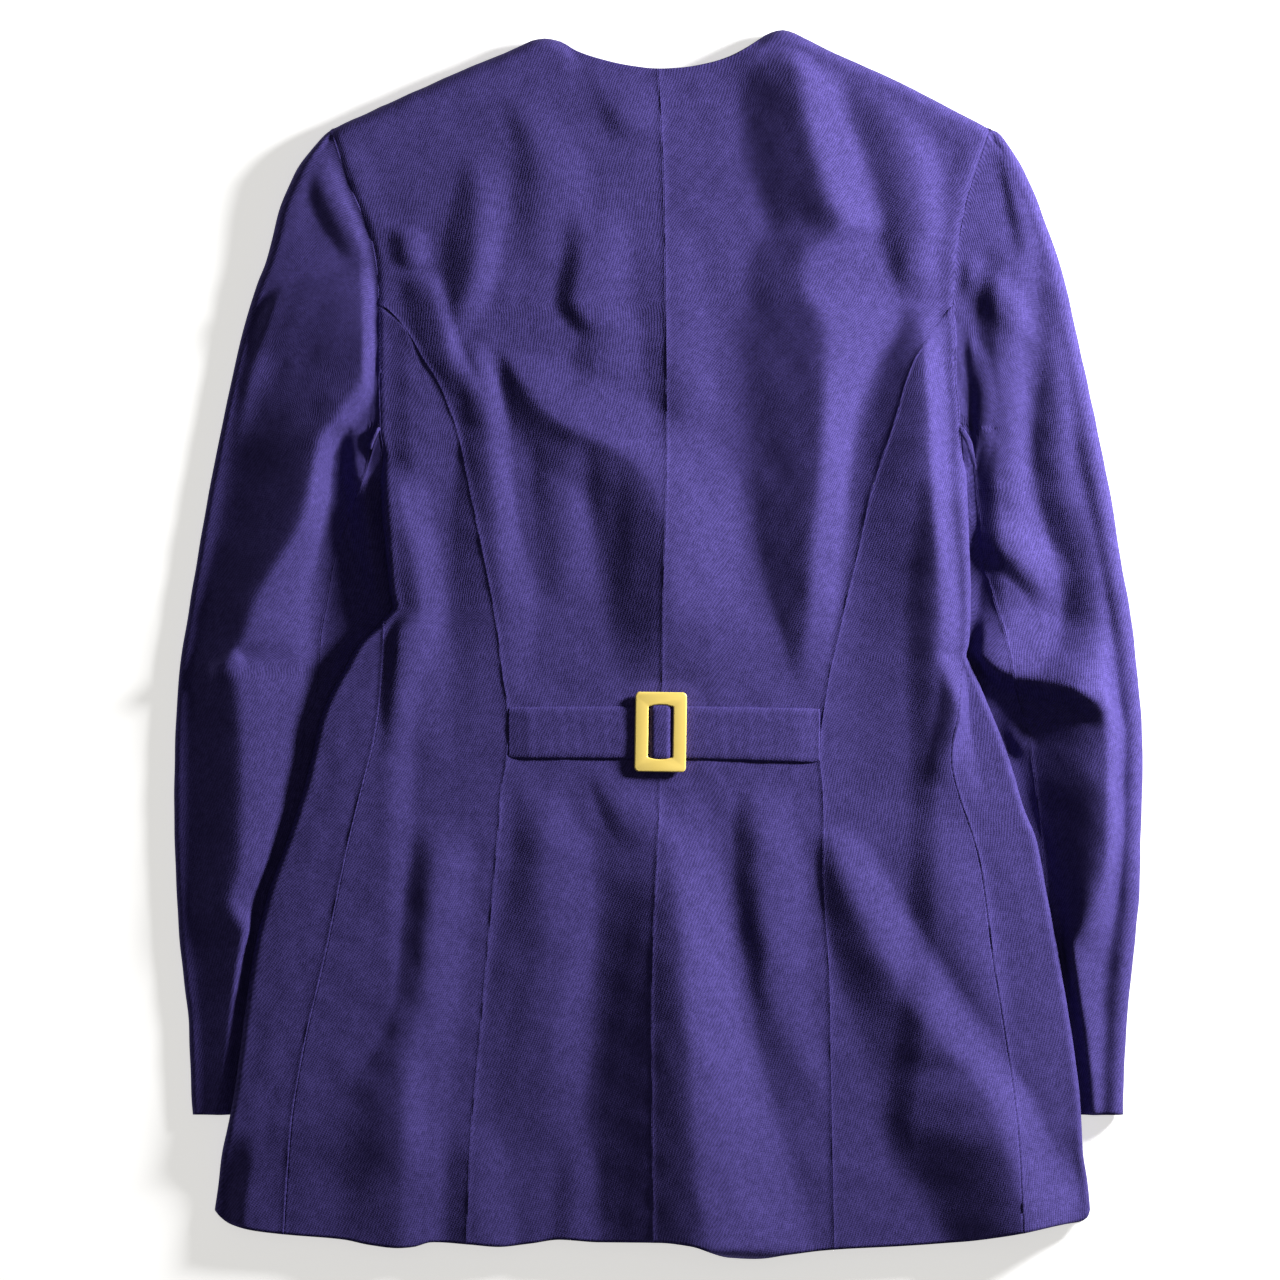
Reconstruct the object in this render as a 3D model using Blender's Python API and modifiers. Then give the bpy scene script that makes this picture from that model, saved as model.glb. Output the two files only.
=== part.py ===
"""Collarless jacket laid flat on a surface with its back upward.

+Y points to the neck, +X to the sleeve on the right of the picture and +Z up from the
surface. The body is a flattened tube of back, side-back and front panels. Each sleeve is a
flattened tube of two panels, and the skirt of the body lies over its lower part. Lengths
are in millimetres until the meshes are made. "Out" is the distance from the middle line,
so that both sides share their functions.
"""

import math
from collections import namedtuple

import bmesh
import bpy
import numpy as np

MM = 0.001
CLOTH = 1.5  # thickness of the cloth
SEAM = 0.3  # clear gap between two pieces at a seam
BENT_SEAM = 1.2  # the same where the cloth turns sharply at the seam
ARMHOLE_SEAM = 0.8  # the same along the armholes
FLOOR_LEVEL = 0.75  # middle of the wall that rests on the surface
BACK_LEVEL = 13.5  # middle of the back's wall in plain stretches
EDGE_BLEND = 16.0  # stretch over which the back comes down to a folded edge
YOKE_LEVEL = 203.0  # where the princess seams leave the armholes
ARMHOLE_END = 129.0  # lowest level of the armhole's straight part
UNDERARM = 110.0  # bottom of the armhole
WAIST_NOTCH = -20.0  # level below which the side seams run over flat cloth
ARMHOLE_TURN = math.radians(35)  # how far the panels roll before the armhole seam
UNDERARM_STEP = 2.6  # how far out the under sleeve lies from the body at the underarm
SLEEVE_LIFT = 9.0  # height of the front's wall where a sleeve lies under it
CUFF_LEVEL = -282.0
SHOULDER_ROLL = 7.0
FRONT_NECK_DROP = 85.0  # how far the front neck lies below the neck points
HALF_NECK = {"left": 67.5, "right": 73.8}
SIGN = {"left": -1.0, "right": 1.0}
PRINCESS_TURN = 182.0  # level at which the side-back's top edge starts to climb
LEAST_COLUMN = 1.2  # narrowest strip of a panel's grid

BELT_THICKNESS = 1.6
BELT_GAP = 0.6
BELT_ENDS = {"left": (-90.0, -38.0, -68.4), "right": (96.6, -38.8, -71.2)}
BELT_AT_BUCKLE = (-37.6, -68.6)
BUCKLE_CENTRE = (1.2, -52.6)
BUCKLE_TURN = math.radians(-0.9)
BUCKLE_SIZE = (30.9, 47.8, 2.6)
BUCKLE_CORNER = 2.4
BUCKLE_WINDOW = (14.7, 30.6)
BUCKLE_BEVEL = 0.55
BUCKLE_BAR = (2.4, 1.0)  # width and thickness of the bar under the cloth

CLOTH_COLOUR = (0.072, 0.052, 0.27, 1)
GOLD_COLOUR = (0.83, 0.62, 0.22, 1)


def smooth(points):
    """A smooth curve through (place, value) pairs that never swings past them."""
    place, value = np.array(sorted(points), float).T
    step = np.diff(place)
    rise = np.diff(value) / step
    product = rise[:-1] * rise[1:]
    total = np.where(product > 0, rise[:-1] + rise[1:], 1)
    inner = np.where(product > 0, 2 * product / total, 0)
    slope = np.concatenate([rise[:1], inner, rise[-1:]])

    def at(where):
        where = np.clip(where, place[0], place[-1])
        i = np.clip(np.searchsorted(place, where, side="right") - 1, 0, len(step) - 1)
        t = (where - place[i]) / step[i]
        return (
            value[i] * (1 + 2 * t) * (1 - t) ** 2
            + slope[i] * step[i] * t * (1 - t) ** 2
            + value[i + 1] * t**2 * (3 - 2 * t)
            + slope[i + 1] * step[i] * t**2 * (t - 1)
        )

    return at


def ease(t):
    t = np.clip(t, 0, 1)
    return t * t * (3 - 2 * t)


def mix(a, b, t):
    return a + (b - a) * t


# Outlines and seams, as (place, value) pairs. Along x the value is a level in y. Along y
# the value is the distance out from the middle line.
SHOULDERS = smooth([
    (-195.3, 307.8), (-155, 326.2), (-107, 347.4), (-94, 352.4), (-83, 357.5),
    (-75.3, 361), (-67.5, 362.1), (-60.9, 361), (-50, 355.3), (-35, 350.2), (-17, 346.2),
    (0, 344.4), (13.5, 345), (30, 347.8), (42.5, 351.7), (52, 356.5), (61.5, 362.4),
    (67, 365.6), (73.8, 367.2), (80.7, 365.7), (94, 358.8), (110, 351.3), (142.5, 336.6),
    (197.7, 308.1),
])
HEM = smooth([
    (-265.5, -339), (-262.5, -343.2), (-256, -347.4), (-242.7, -351), (-225, -353.2),
    (-188, -356.4), (-173, -359.4), (-156, -361.2), (-147, -360.6), (-136, -357.9),
    (-114, -359.1), (-95, -360.6), (-77, -358.8), (-59, -356.4), (-35, -357.9),
    (1, -357.6), (19, -359.4), (31, -363), (43, -366.3), (58.5, -367.2), (76, -365.4),
    (105, -362.4), (145, -360.3), (181, -357.6), (205, -354), (241, -347.4),
    (253, -345.9), (257, -343.2), (258.3, -339),
])
BACK_SEAM = smooth([
    (344, -0.3), (266, 3.3), (197, 4.2), (142, 4.9), (83, 4.2), (31, 2.7), (-27, 1.9),
    (-79, 0.6), (-106, -0.3), (-214, -3.9), (-286, -3.6), (-358, -2.7),
])
PRINCESS = {
    "left": smooth([
        (205, 167.1), (195.6, 157), (185.4, 149.1), (170, 140), (156, 131), (141, 125),
        (122, 119), (101, 114.3), (74, 108.9), (50, 104.1), (35, 101.1), (8, 96.3),
        (-21, 93), (-38, 90.3), (-54, 89.9), (-69, 90.9), (-85, 93.9), (-106, 95.5),
        (-190, 102.9), (-245, 107.7), (-293, 112.1), (-359, 114.6),
    ]),
    "right": smooth([
        (205, 176.1), (195.6, 169.5), (182, 161.1), (170, 153.3), (155, 147.3),
        (137, 142.5), (121, 137.1), (90, 126.9), (55, 119.1), (28, 112.5), (-1, 105.9),
        (-16, 102.3), (-39, 98.7), (-56, 96.6), (-71, 96.3), (-88, 97.8), (-154, 99),
        (-202, 101.7), (-274, 102.9), (-362, 104.7),
    ]),
}
BODY_EDGE = {
    "left": smooth([
        (307.8, 195.3), (289, 189.3), (268, 181.5), (250, 173.7), (237, 170.1),
        (220, 167.7), (205, 167.1), (158, 167.1), (128, 166.5), (104, 165.6),
        (82, 164.7), (53, 162.3), (32, 160.2), (21.3, 158.2), (17.4, 161.1),
        (10.8, 167.1), (-2, 179.7), (-16, 187.5), (-32, 196.5), (-49, 202.8),
        (-73, 207.9), (-94, 213.9), (-115, 220.5), (-148, 232.5), (-188, 242.1),
        (-253, 251.1), (-281, 255.5), (-304, 260.5), (-339, 265.3),
    ]),
    "right": smooth([
        (308.1, 197.7), (298, 194.7), (281, 188.7), (265, 183.9), (247, 180.3),
        (228, 177.3), (205, 176.1), (182, 177.6), (159, 177.6), (144, 179.4),
        (128, 180.3), (110, 182.7), (96, 183.6), (62, 185.1), (26, 186.1), (10, 185.7),
        (-1, 184.5), (-6, 183.3), (-10.8, 185.4), (-21.6, 190.2), (-39, 197.7),
        (-57, 204.9), (-78, 212.1), (-99, 218.1), (-119, 225.9), (-144, 230.7),
        (-169, 235.5), (-191, 239.7), (-231, 246.3), (-273, 251.7), (-304, 253.5),
        (-322, 256.5), (-339, 258.3),
    ]),
}
# Above the waist's notch the side seam lies just past the folded edge, towards the front.
SIDE_SEAM = {
    "left": smooth([
        (110, 166), (60, 164), (30, 161.3), (21.3, 159.6), (12.6, 164.2), (-6, 165.4),
        (-28, 166.8), (-55, 170.3), (-82, 177), (-124, 187.2), (-184, 199.5),
        (-241, 212.7), (-286, 220.2), (-328, 223.5), (-353, 225),
    ]),
    "right": smooth([
        (110, 183), (60, 186.3), (27, 187.2), (10, 186.7), (-1, 185.3), (-6, 183.8),
        (-20, 181), (-42, 179.3), (-59, 175.8), (-68, 175.2), (-95, 181.5),
        (-112, 187.5), (-130, 192.3), (-148, 195.3), (-187, 200.1), (-234, 207.9),
        (-268, 212.7), (-300, 215.7), (-352, 218.5),
    ]),
}
BODY_ROLL = smooth([(308, 7.5), (280, 7), (205, 6), (110, 5.4), (40, 4), (0, 3.4), (-339, 3.1)])
SLEEVE_OUTER = {
    "left": smooth([
        (307.8, 197.2), (304.8, 201.3), (293, 210.3), (280, 218.1), (262, 225.9),
        (242, 231.3), (228, 234.9), (216, 239.7), (193, 246.9), (169, 252.9),
        (149, 257.1), (123, 262.5), (90, 269.1), (62, 273.9), (25, 280.2), (-22, 287.1),
        (-70, 289.5), (-102, 289.7), (-142, 288.6), (-181, 286.2), (-229, 281.1),
        (-274, 279.3), (-282, 278.7),
    ]),
    "right": smooth([
        (307.8, 199.4), (306, 204.1), (301, 208.5), (287, 216.3), (271, 224.1),
        (251, 231.6), (230, 239.1), (208, 245.1), (185, 249.9), (159, 255.9),
        (136, 260.7), (110, 266.1), (82, 271.5), (45, 277.2), (10, 283.5), (-19, 286.2),
        (-46, 288.9), (-71, 289.5), (-107, 288.6), (-144, 287.7), (-175, 285.3),
        (-214, 281.1), (-257, 278.4), (-283, 277.8),
    ]),
}
SLEEVE_SEAM = {
    "left": smooth([
        (129, 168.3), (120, 171.8), (110, 173.7), (98, 177), (74, 186), (49, 195), (26, 199), (2, 203),
        (-22, 204.3), (-35, 206), (-45, 212), (-66, 214.2), (-86, 216.4), (-106, 222),
        (-125, 229), (-140, 234.3), (-160, 237), (-180, 240), (-282, 240),
    ]),
    "right": smooth([
        (129, 182.2), (120, 187), (110, 189.1), (98, 190.2), (88, 191), (76, 192.4), (62, 194),
        (49, 195.3), (28, 200.7), (6, 207.3), (-16, 211.8), (-34, 216.3), (-50, 220.5),
        (-100, 228), (-150, 232), (-282, 236),
    ]),
}
SLEEVE_INNER = {
    "left": smooth([
        (129, 166.8), (120, 168.8), (110, 168.8), (82, 168.5), (50, 156), (20, 152),
        (0, 158), (-60, 172), (-150, 172), (-282, 163),
    ]),
    "right": smooth([
        (129, 181.2), (120, 184.6), (110, 186.4), (100, 187), (82, 187.8), (50, 176),
        (20, 174), (-60, 176), (-150, 176), (-282, 162),
    ]),
}
SLEEVE_ROLL = smooth([(308, 1), (298, 4), (280, 6), (200, 7), (0, 7), (-282, 5)])
SLEEVE_INNER_ROLL = smooth([(132, 0.5), (120, 3.1)])
SLEEVE_FLOOR = smooth([(308, 6.5), (290, 4), (265, 1.5), (240, 0), (-282, 0)])
SLEEVE_LEVEL = smooth([(308, 14), (250, 13), (205, 12), (150, 10), (129, 9), (100, 7.2), (82, 6.95)])

# Folds of the cloth. Each is a ridge, or a trough where its height is negative, along a
# line. Its flanks run west and east of the line (south and north of a level one), and crisp
# is 1 for a pressed edge and 0 for a soft swell.
Fold = namedtuple("Fold", "name height west east crisp line")
BODY_FOLDS = [
    Fold("left shoulder blade", 5, 19, 18, 0.7,
         [(-110, 281), (-110, 257), (-111, 236), (-115, 212), (-118, 191)]),
    Fold("left yoke", 3.5, 23, 18, 0.2,
         [(-86, 341), (-81, 314), (-71, 296), (-68, 278), (-72, 257)]),
    Fold("left of the back seam", 4, 18, 21, 0.4,
         [(-45, 263), (-43, 242), (-46, 220), (-41, 202), (-33, 185)]),
    Fold("left step, upper", 8, 16, 27, 0.5,
         [(-87, 179), (-82, 158), (-68, 145), (-50, 133), (-32, 124)]),
    Fold("left step, lower", 8, 33, 33, 0.4,
         [(-41, 128), (-17, 110), (-6, 92), (0, 74), (2, 50), (3, 20), (2, -10)]),
    Fold("left princess ridge", 5, 11, 13, 0.7,
         [(-100, 158), (-97, 122), (-95, 86), (-90, 59), (-83, 32)]),
    Fold("right shoulder ridge", 12, 42, 25, 0.8,
         [(83, 350), (87, 326), (92, 296), (102, 272), (109, 256)]),
    Fold("right blade ridge", 10, 37, 25, 0.7,
         [(108, 250), (98, 235), (91, 224), (90, 214), (94, 203), (98, 191)]),
    Fold("right long ridge", 13, 53, 23, 0.6,
         [(98, 196), (99, 158), (99, 122), (96, 92), (92, 59), (87, 26), (82, 2)]),
    Fold("right of the back seam", -4, 29, 18, 0.2,
         [(39, 236), (38, 188), (39, 134), (40, 86), (46, 50)]),
    Fold("right princess trough", -5, 22, 31, 0.3,
         [(139, 185), (128, 169), (123, 146), (119, 125), (112, 62), (110, 26)]),
    Fold("right side ridge", 6, 35, 16, 0.6,
         [(160, 185), (167, 151), (161, 107), (166, 80), (172, 56), (173, 26), (178, 2)]),
    Fold("left side ridge", 4, 10, 29, 0.4, [(-155, 104), (-154, 62), (-152, 26), (-149, -4)]),
    Fold("left skirt ridge", 6, 19, 24, 0.6,
         [(-130, -112), (-132, -154), (-137, -187), (-148, -241), (-152, -268)]),
    Fold("middle skirt ridge", 7, 45, 33, 0.2,
         [(6, -94), (8, -142), (10, -190), (11, -238), (10, -274)]),
    Fold("right skirt trough", -5, 33, 18, 0.3,
         [(47, -76), (46, -124), (48, -172), (52, -214), (64, -250), (85, -286)]),
    Fold("right skirt diagonal", 8, 28, 18, 0.5,
         [(103, -115), (126, -155), (140, -184), (156, -208), (190, -250)]),
    Fold("right lower hollow", -4, 25, 19, 0.2,
         [(112, -190), (127, -226), (145, -262), (172, -295), (196, -325)]),
    Fold("right hem ridge", 5, 28, 28, 0.3, [(25, -274), (36, -304), (46, -334), (50, -370)]),
    Fold("right waist fold", 4, 18, 14, 0.3,
         [(183, -5), (179, -20), (177, -42), (172, -61), (168, -79)]),
]
SLEEVE_FOLDS = {
    "left": [
        Fold("cap crease", -5, 13, 16, 0.4,
             [(-213, 292), (-208, 269), (-202, 253), (-192, 239), (-183, 229)]),
        Fold("cap drag", 6, 18, 19, 0.5, [(-238, 233), (-215, 227), (-197, 222), (-180, 217)]),
        Fold("crest, upper", 16, 57, 8, 0.7,
             [(-178, 157), (-188, 146), (-200, 132), (-206, 119), (-209, 101), (-219, 67)]),
        Fold("crest, elbow", 17, 37, 45, 0.6,
             [(-212, 83), (-218, 68), (-229, 50), (-240, 28), (-244, 10), (-245, -10)]),
        Fold("crest, lower", 17, 37, 34, 0.5,
             [(-244, 2), (-245, -28), (-247, -61), (-251, -124), (-249, -148), (-242, -190)]),
        Fold("inner rim", 12, 34, 8, 0.5,
             [(-208, 10), (-209, -20), (-212, -35), (-219, -66), (-227, -106), (-239, -140)]),
    ],
    "right": [
        Fold("cap dome", 8, 37, 42, 0.1,
             [(205, 284), (214, 206), (222, 146), (229, 86), (236, 26), (241, -4)]),
        Fold("cap crease", -5, 10, 11, 0.4, [(205, 302), (207, 266), (210, 239)]),
        Fold("outer ridge", 7, 22, 25, 0.3,
             [(238, 209), (244, 176), (244, 146), (241, 122), (250, 86), (262, 14)]),
        Fold("elbow trough", -6, 14, 14, 0.3, [(187, 47), (205, 38), (223, 26), (238, 16)]),
        Fold("elbow lip", 16, 13, 45, 0.6,
             [(190, -4), (205, -12), (223, -17), (241, -23), (259, -30), (270, -41)]),
        Fold("forearm crest", 17, 20, 30, 0.5,
             [(265, -34), (274, -61), (271, -76), (273, -100), (262, -142), (241, -208)]),
    ],
}


def fold_line(points, steps=5):
    """The points of a smooth curve through a fold's own points."""
    points = np.array(points, float)
    ends = [2 * points[0] - points[1], *points, 2 * points[-1] - points[-2]]
    t = np.linspace(0, 1, steps, endpoint=False)[:, None]
    runs = [
        b + 0.5 * t * (c - a + t * (2 * a - 5 * b + 4 * c - d + t * (3 * (b - c) + d - a)))
        for a, b, c, d in zip(ends, ends[1:], ends[2:], ends[3:])
    ]
    return np.vstack([*runs, points[-1:]])


def fold_height(fold, x, y):
    line = fold_line(fold.line)
    length = np.concatenate([[0], np.cumsum(np.hypot(*np.diff(line, axis=0).T))])
    nearest = np.full(x.shape, 1e9)
    along = np.zeros(x.shape)
    side = np.zeros(x.shape)
    for a, b, start in zip(line, line[1:], length):
        run = b - a
        size = np.hypot(*run)
        across = np.array([run[1], -run[0]]) / size
        across = across if across @ (0.8, 0.6) > 0 else -across
        t = np.clip(((x - a[0]) * run[0] + (y - a[1]) * run[1]) / size**2, 0, 1)
        dx, dy = x - a[0] - t * run[0], y - a[1] - t * run[1]
        reach = np.hypot(dx, dy)
        closer = reach < nearest
        nearest = np.where(closer, reach, nearest)
        along = np.where(closer, start + t * size, along)
        side = np.where(closer, dx * across[0] + dy * across[1], side)
    width = np.where(side < 0, fold.west, fold.east)
    edge = mix(0.35, 0.1, fold.crisp)
    far = math.hypot(1, edge)
    g = np.clip((far - np.hypot(nearest / width, edge)) / (far - edge), 0, 1)
    profile = mix(g * g * (3 - 2 * g), g**1.6, fold.crisp)
    taper = 0.3 * length[-1]
    return fold.height * profile * ease(along / taper) * ease((length[-1] - along) / taper)


def relief(folds, x, y):
    return sum(fold_height(fold, x, y) for fold in folds)


def front_lift(side, out, y):
    """How far the sleeve that lies under the body raises its front wall."""
    along = ease((UNDERARM + 2 - y) / 30) * ease((y - CUFF_LEVEL + 45) / 40)
    return SLEEVE_LIFT * along * ease((out - SLEEVE_INNER[side](y) + 28) / 20)


def front_level(side, out, y):
    return FLOOR_LEVEL + front_lift(side, out, y)


def fold_edge(side, y):
    """The body's outermost line. Above the underarm it lies just past the armhole seam."""
    past = BODY_ROLL(y) * (1 - math.sin(ARMHOLE_TURN))
    return BODY_EDGE[side](y) + past * ease((y - UNDERARM) / (ARMHOLE_END - UNDERARM))


def half_thickness(side, out, y):
    """Half of the distance from the front's wall to the back's, at a point of the plan."""
    x = SIGN[side] * out
    lift = front_lift(side, out, y)
    roll = BODY_ROLL(y)
    height = BACK_LEVEL - FLOOR_LEVEL - 0.65 * lift + relief(BODY_FOLDS, x, y)
    inner = ease((fold_edge(side, y) - roll - out) / EDGE_BLEND)
    above = ease((SHOULDERS(x) - SHOULDER_ROLL - y) / EDGE_BLEND)
    neck = ease((HALF_NECK[side] - 4 - out) / 20)
    return mix(mix(roll, SHOULDER_ROLL, 1 - above), height / 2, inner * mix(above, 1, neck))


def shoulder_turn(side, out):
    """How far the back rolls over at its top edge: a droop at the neck, then a fold."""
    return mix(math.radians(20), math.pi / 2, ease((out - HALF_NECK[side] + 28) / 26))


def front_top(side, out):
    """The front's top edge: the shoulder line, then a round neck."""
    half = HALF_NECK[side]
    inside = np.clip(out / half, 0, 1)
    drop = FRONT_NECK_DROP * (1 - inside**1.3)
    return SHOULDERS(SIGN[side] * np.maximum(out, half)) - drop


def spread(u, total, start, lines, end):
    """Distances from start to end over a grid of total columns.

    lines gives, for some of the columns, the distance that they keep to.
    """
    columns = [0, *lines, total]
    values = [start]
    least = np.minimum(LEAST_COLUMN, (end - start) / total)
    for column, line in lines.items():
        low = values[-1] + least * (column - columns[len(values) - 1])
        high = end - least * (total - column)
        values.append(np.minimum(np.maximum(line, low), high))
    values.append(end)
    place = u * total
    result = start + 0 * u
    for low, high, a, b in zip(columns, columns[1:], values, values[1:]):
        share = np.clip((place - low) / (high - low), 0, 1)
        result = np.where(place >= low, mix(a, b, share), result)
    return result


def fold_columns(side, y):
    """Where the body's side fold lies, as five distances along the cloth."""
    roll = BODY_ROLL(y)
    outermost = fold_edge(side, y) - roll + roll * math.pi / 2
    return outermost, [outermost + roll * math.radians(turn) for turn in (-90, -45, 0, 45, 90)]


def along_cloth(side, out, y):
    """Distance along the cloth to a point that shows on the back at this distance out."""
    roll = BODY_ROLL(y)
    edge = fold_edge(side, y)
    past = out - edge
    bend = np.arcsin(np.clip((out - edge + roll) / roll, 0, 1))
    seen = np.where(out < edge - roll, out, edge - roll + roll * bend)
    return np.where(past > 0, edge - roll + roll * math.pi / 2 + past, seen)


def side_boundary(side, y, layer):
    """The side-back's outer edge (layer 1) and the front's (layer -1): armhole, side seam."""
    outermost, _ = fold_columns(side, y)
    armhole = outermost - layer * BODY_ROLL(y) * (math.pi / 2 - ARMHOLE_TURN)
    seam = along_cloth(side, SIDE_SEAM[side](y), y)
    below = np.clip((ARMHOLE_END - y) / (ARMHOLE_END - UNDERARM), 0, 1)
    return mix(seam, armhole, np.sqrt(1 - below**2))


def princess_seam(side, y):
    """Where the princess seam lies along the cloth. It starts at the armhole."""
    return np.minimum(along_cloth(side, PRINCESS[side](y), y), side_boundary(side, y, 1))


def back_columns(side, u, y):
    middle = SIGN[side] * BACK_SEAM(y)
    outer = np.where(y > YOKE_LEVEL - 1, side_boundary(side, y, 1), princess_seam(side, y))
    neck = mix(0.36 * outer, HALF_NECK[side], ease((y - 260) / 50))
    start_of_roll = fold_edge(side, y) - BODY_ROLL(y)
    return spread(u, 12, middle, {4: neck, 10: start_of_roll}, outer)


def side_back_columns(side, u, y):
    """The top edge of this panel climbs along the princess seam to the armhole."""
    levels = np.array([PRINCESS_TURN, 194.0, YOKE_LEVEL])
    tip = side_boundary(side, levels[2:], 1)
    climb = np.interp(y, levels, np.append(princess_seam(side, levels[:2]), tip))
    _, lines = fold_columns(side, y)
    lines = dict(zip(range(5, 10), lines))
    inner, outer = princess_seam(side, y), side_boundary(side, y, 1)
    return np.where(y > PRINCESS_TURN + 0.1, climb, spread(u, 10, inner, lines, outer))


def side_back_row(u, row):
    """Turns the first row of the side-back into its climb along the princess seam."""
    climb = np.interp(u, (0, 0.6, 1), (PRINCESS_TURN, 194.0, YOKE_LEVEL))
    return np.where(row < row[1:2], 1 + (YOKE_LEVEL - climb) / (YOKE_LEVEL + 350), row)


def front_columns(side, u, y):
    _, lines = fold_columns(side, y)
    roll = BODY_ROLL(y)
    centre = 2 * (fold_edge(side, y) - roll) + math.pi * roll
    lifted = centre - SLEEVE_INNER[side](y)
    lines = dict(zip(range(2, 7), lines))
    lines |= {7: lifted + 8, 8: lifted + 28, 10: centre - HALF_NECK[side]}
    return spread(u, 14, side_boundary(side, y, -1), lines, centre)


def body_place(side, along, y):
    """(distance out, cosine of the side roll) of a point along the body's tube."""
    roll = BODY_ROLL(y)
    flat = fold_edge(side, y) - roll
    bend = np.clip((along - flat) / roll, 0, math.pi)
    past = np.maximum(along - flat - math.pi * roll, 0)
    out = np.minimum(along, flat) + roll * np.sin(bend) - past
    return out, np.cos(bend)


def body_points(side, columns, u, row, front=False):
    """Points of a body panel. row is -1 at its top edge, 0 past the shoulder's roll, 1 at
    the yoke level and 2 at the hem. u runs from 0 to 1 across the panel."""
    y = np.where(row > 1, mix(YOKE_LEVEL, -350, row - 1), YOKE_LEVEL + 50 * (1 - row))
    out = 100.0 + 0 * u
    for _ in range(8):
        along = columns(side, u, y)
        out, turn = body_place(side, along, y)
        x = SIGN[side] * out
        most = shoulder_turn(side, out)
        top = SHOULDERS(x)
        if front:
            most = math.pi / 2 * ease((out - HALF_NECK[side] + 8) / 8)
            top = front_top(side, out)
        past = np.clip(-row, 0, 1)
        bend = most * past
        folded = most / (math.pi / 2)
        flat_top = top - SHOULDER_ROLL * mix(2, np.sin(most), folded)
        rolled = SHOULDER_ROLL * mix(2 * past, np.sin(bend), folded)
        upper = mix(flat_top, YOKE_LEVEL, np.clip(row, 0, 1)) + rolled
        y = mix(upper, HEM(x), np.clip(row - 1, 0, 1))
    half = half_thickness(side, out, y)
    level = front_level(side, out, y)
    sunk = np.where(turn < 0, -np.abs(turn * np.cos(bend)), turn * np.cos(bend))
    return np.stack([x, y, level + half * (1 + sunk)], -1)


def sleeve_columns(side, y):
    """(outer roll, outermost distance, distances along the cloth to the inner fold)."""
    outer = SLEEVE_OUTER[side](y)
    armhole = BODY_EDGE[side](y)
    inner = np.where(y > ARMHOLE_END, armhole - 0.6, SLEEVE_INNER[side](y))
    roll = np.minimum(SLEEVE_ROLL(y), 0.45 * (outer - inner))
    return roll, outer, inner


def sleeve_surface(side, along, y):
    """A point of the sleeve's tube. Distances along the cloth start at its outer fold, run
    over the upper wall, round the inner fold and back under the lower wall."""
    roll, outer, inner = sleeve_columns(side, y)
    small = np.minimum(SLEEVE_INNER_ROLL(y), roll)
    flat = outer - roll - inner - small
    whole = math.pi / 2 * (roll + small) + flat
    lower = (along < 0) | (along > whole)
    s = np.abs(np.where(along > whole, 2 * whole - along, along))
    bend = np.clip(s / roll, 0, math.pi / 2)
    inner_bend = np.clip((s - roll * math.pi / 2 - flat) / small, 0, math.pi / 2)
    run = np.clip(s - roll * math.pi / 2, 0, flat)
    out = outer - roll * (1 - np.sin(math.pi / 2 - bend)) - run - small * np.sin(inner_bend)
    clear = ease((out - BODY_EDGE[side](y) - 2.2) / 8)
    folds = relief(SLEEVE_FOLDS[side], SIGN[side] * out, y)
    height = SLEEVE_LEVEL(y) - FLOOR_LEVEL - SLEEVE_FLOOR(y) + clear * folds
    from_outer = ease((outer - roll - out) / (2.4 * roll))
    half = mix(roll, np.maximum(height / 2, 1.2), from_outer)
    half = mix(half, small, ease(inner_bend))
    turn = np.sin(bend) * np.cos(inner_bend)
    level = FLOOR_LEVEL + SLEEVE_FLOOR(y)
    z = level + half * (1 + np.where(lower, -turn, turn))
    return np.stack([SIGN[side] * out, y, z], -1)


def upper_sleeve_width(side, y):
    """Distance along the cloth from the sleeve's outer fold to its back seam."""
    roll, outer, _ = sleeve_columns(side, y)
    seam = np.where(y > ARMHOLE_END, BODY_EDGE[side](y), SLEEVE_SEAM[side](y))
    return roll * math.pi / 2 + outer - roll - seam


def lower_sleeve_width(side, y):
    """The same under the sleeve, to its front seam."""
    roll, outer, inner = sleeve_columns(side, y)
    inset = 24 * (1 - np.clip((y - ARMHOLE_END + 50) / 50, 0, 1) ** 2)
    inset = np.where(y > ARMHOLE_END, 0, inset)
    return roll * math.pi / 2 + outer - roll - inner - inset


ARMHOLE_ROWS = 13
UPPER_ROWS = [-1, -0.5, *np.linspace(0, 1, 7)]
YOKE_ROW = len(UPPER_ROWS) - 1
LOWER_LEVELS = [
    194, PRINCESS_TURN, 165, 147, ARMHOLE_END, 118, UNDERARM, 88, 64, 40, 21.3, 8, -6, -15, -30, -52, -82,
    -116, -155, -195, -235, -268, -292, -316, -340, -360,
]
LOWER_ROWS = [1 + (YOKE_LEVEL - level) / (YOKE_LEVEL + 350) for level in LOWER_LEVELS]
BODY_ROWS = [*UPPER_ROWS, *LOWER_ROWS[:-1], 2.0]
SLEEVE_LEVELS = [
    92, 72, 50, 30, 12, 0, -10, -21, -34, -50, -72, -100, -135, -175, -215, -250, CUFF_LEVEL,
]
SLEEVE_CAP_ROWS = 6  # rows from the armhole to the first of these levels


def armhole_point(side, place, layer):
    """A point of the body's armhole edge: 0 at the shoulder, then 1 for each row."""
    rows = np.array(BODY_ROWS[: ARMHOLE_ROWS + 3])

    def edge(side, _, y):
        return side_boundary(side, y, layer)

    points = body_points(side, edge, 0 * rows, rows)
    return np.stack([np.interp(place, range(len(rows)), line) for line in points.T], -1)


def above_floor(points):
    points[..., 2] = np.maximum(points[..., 2], FLOOR_LEVEL)
    return points


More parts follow.
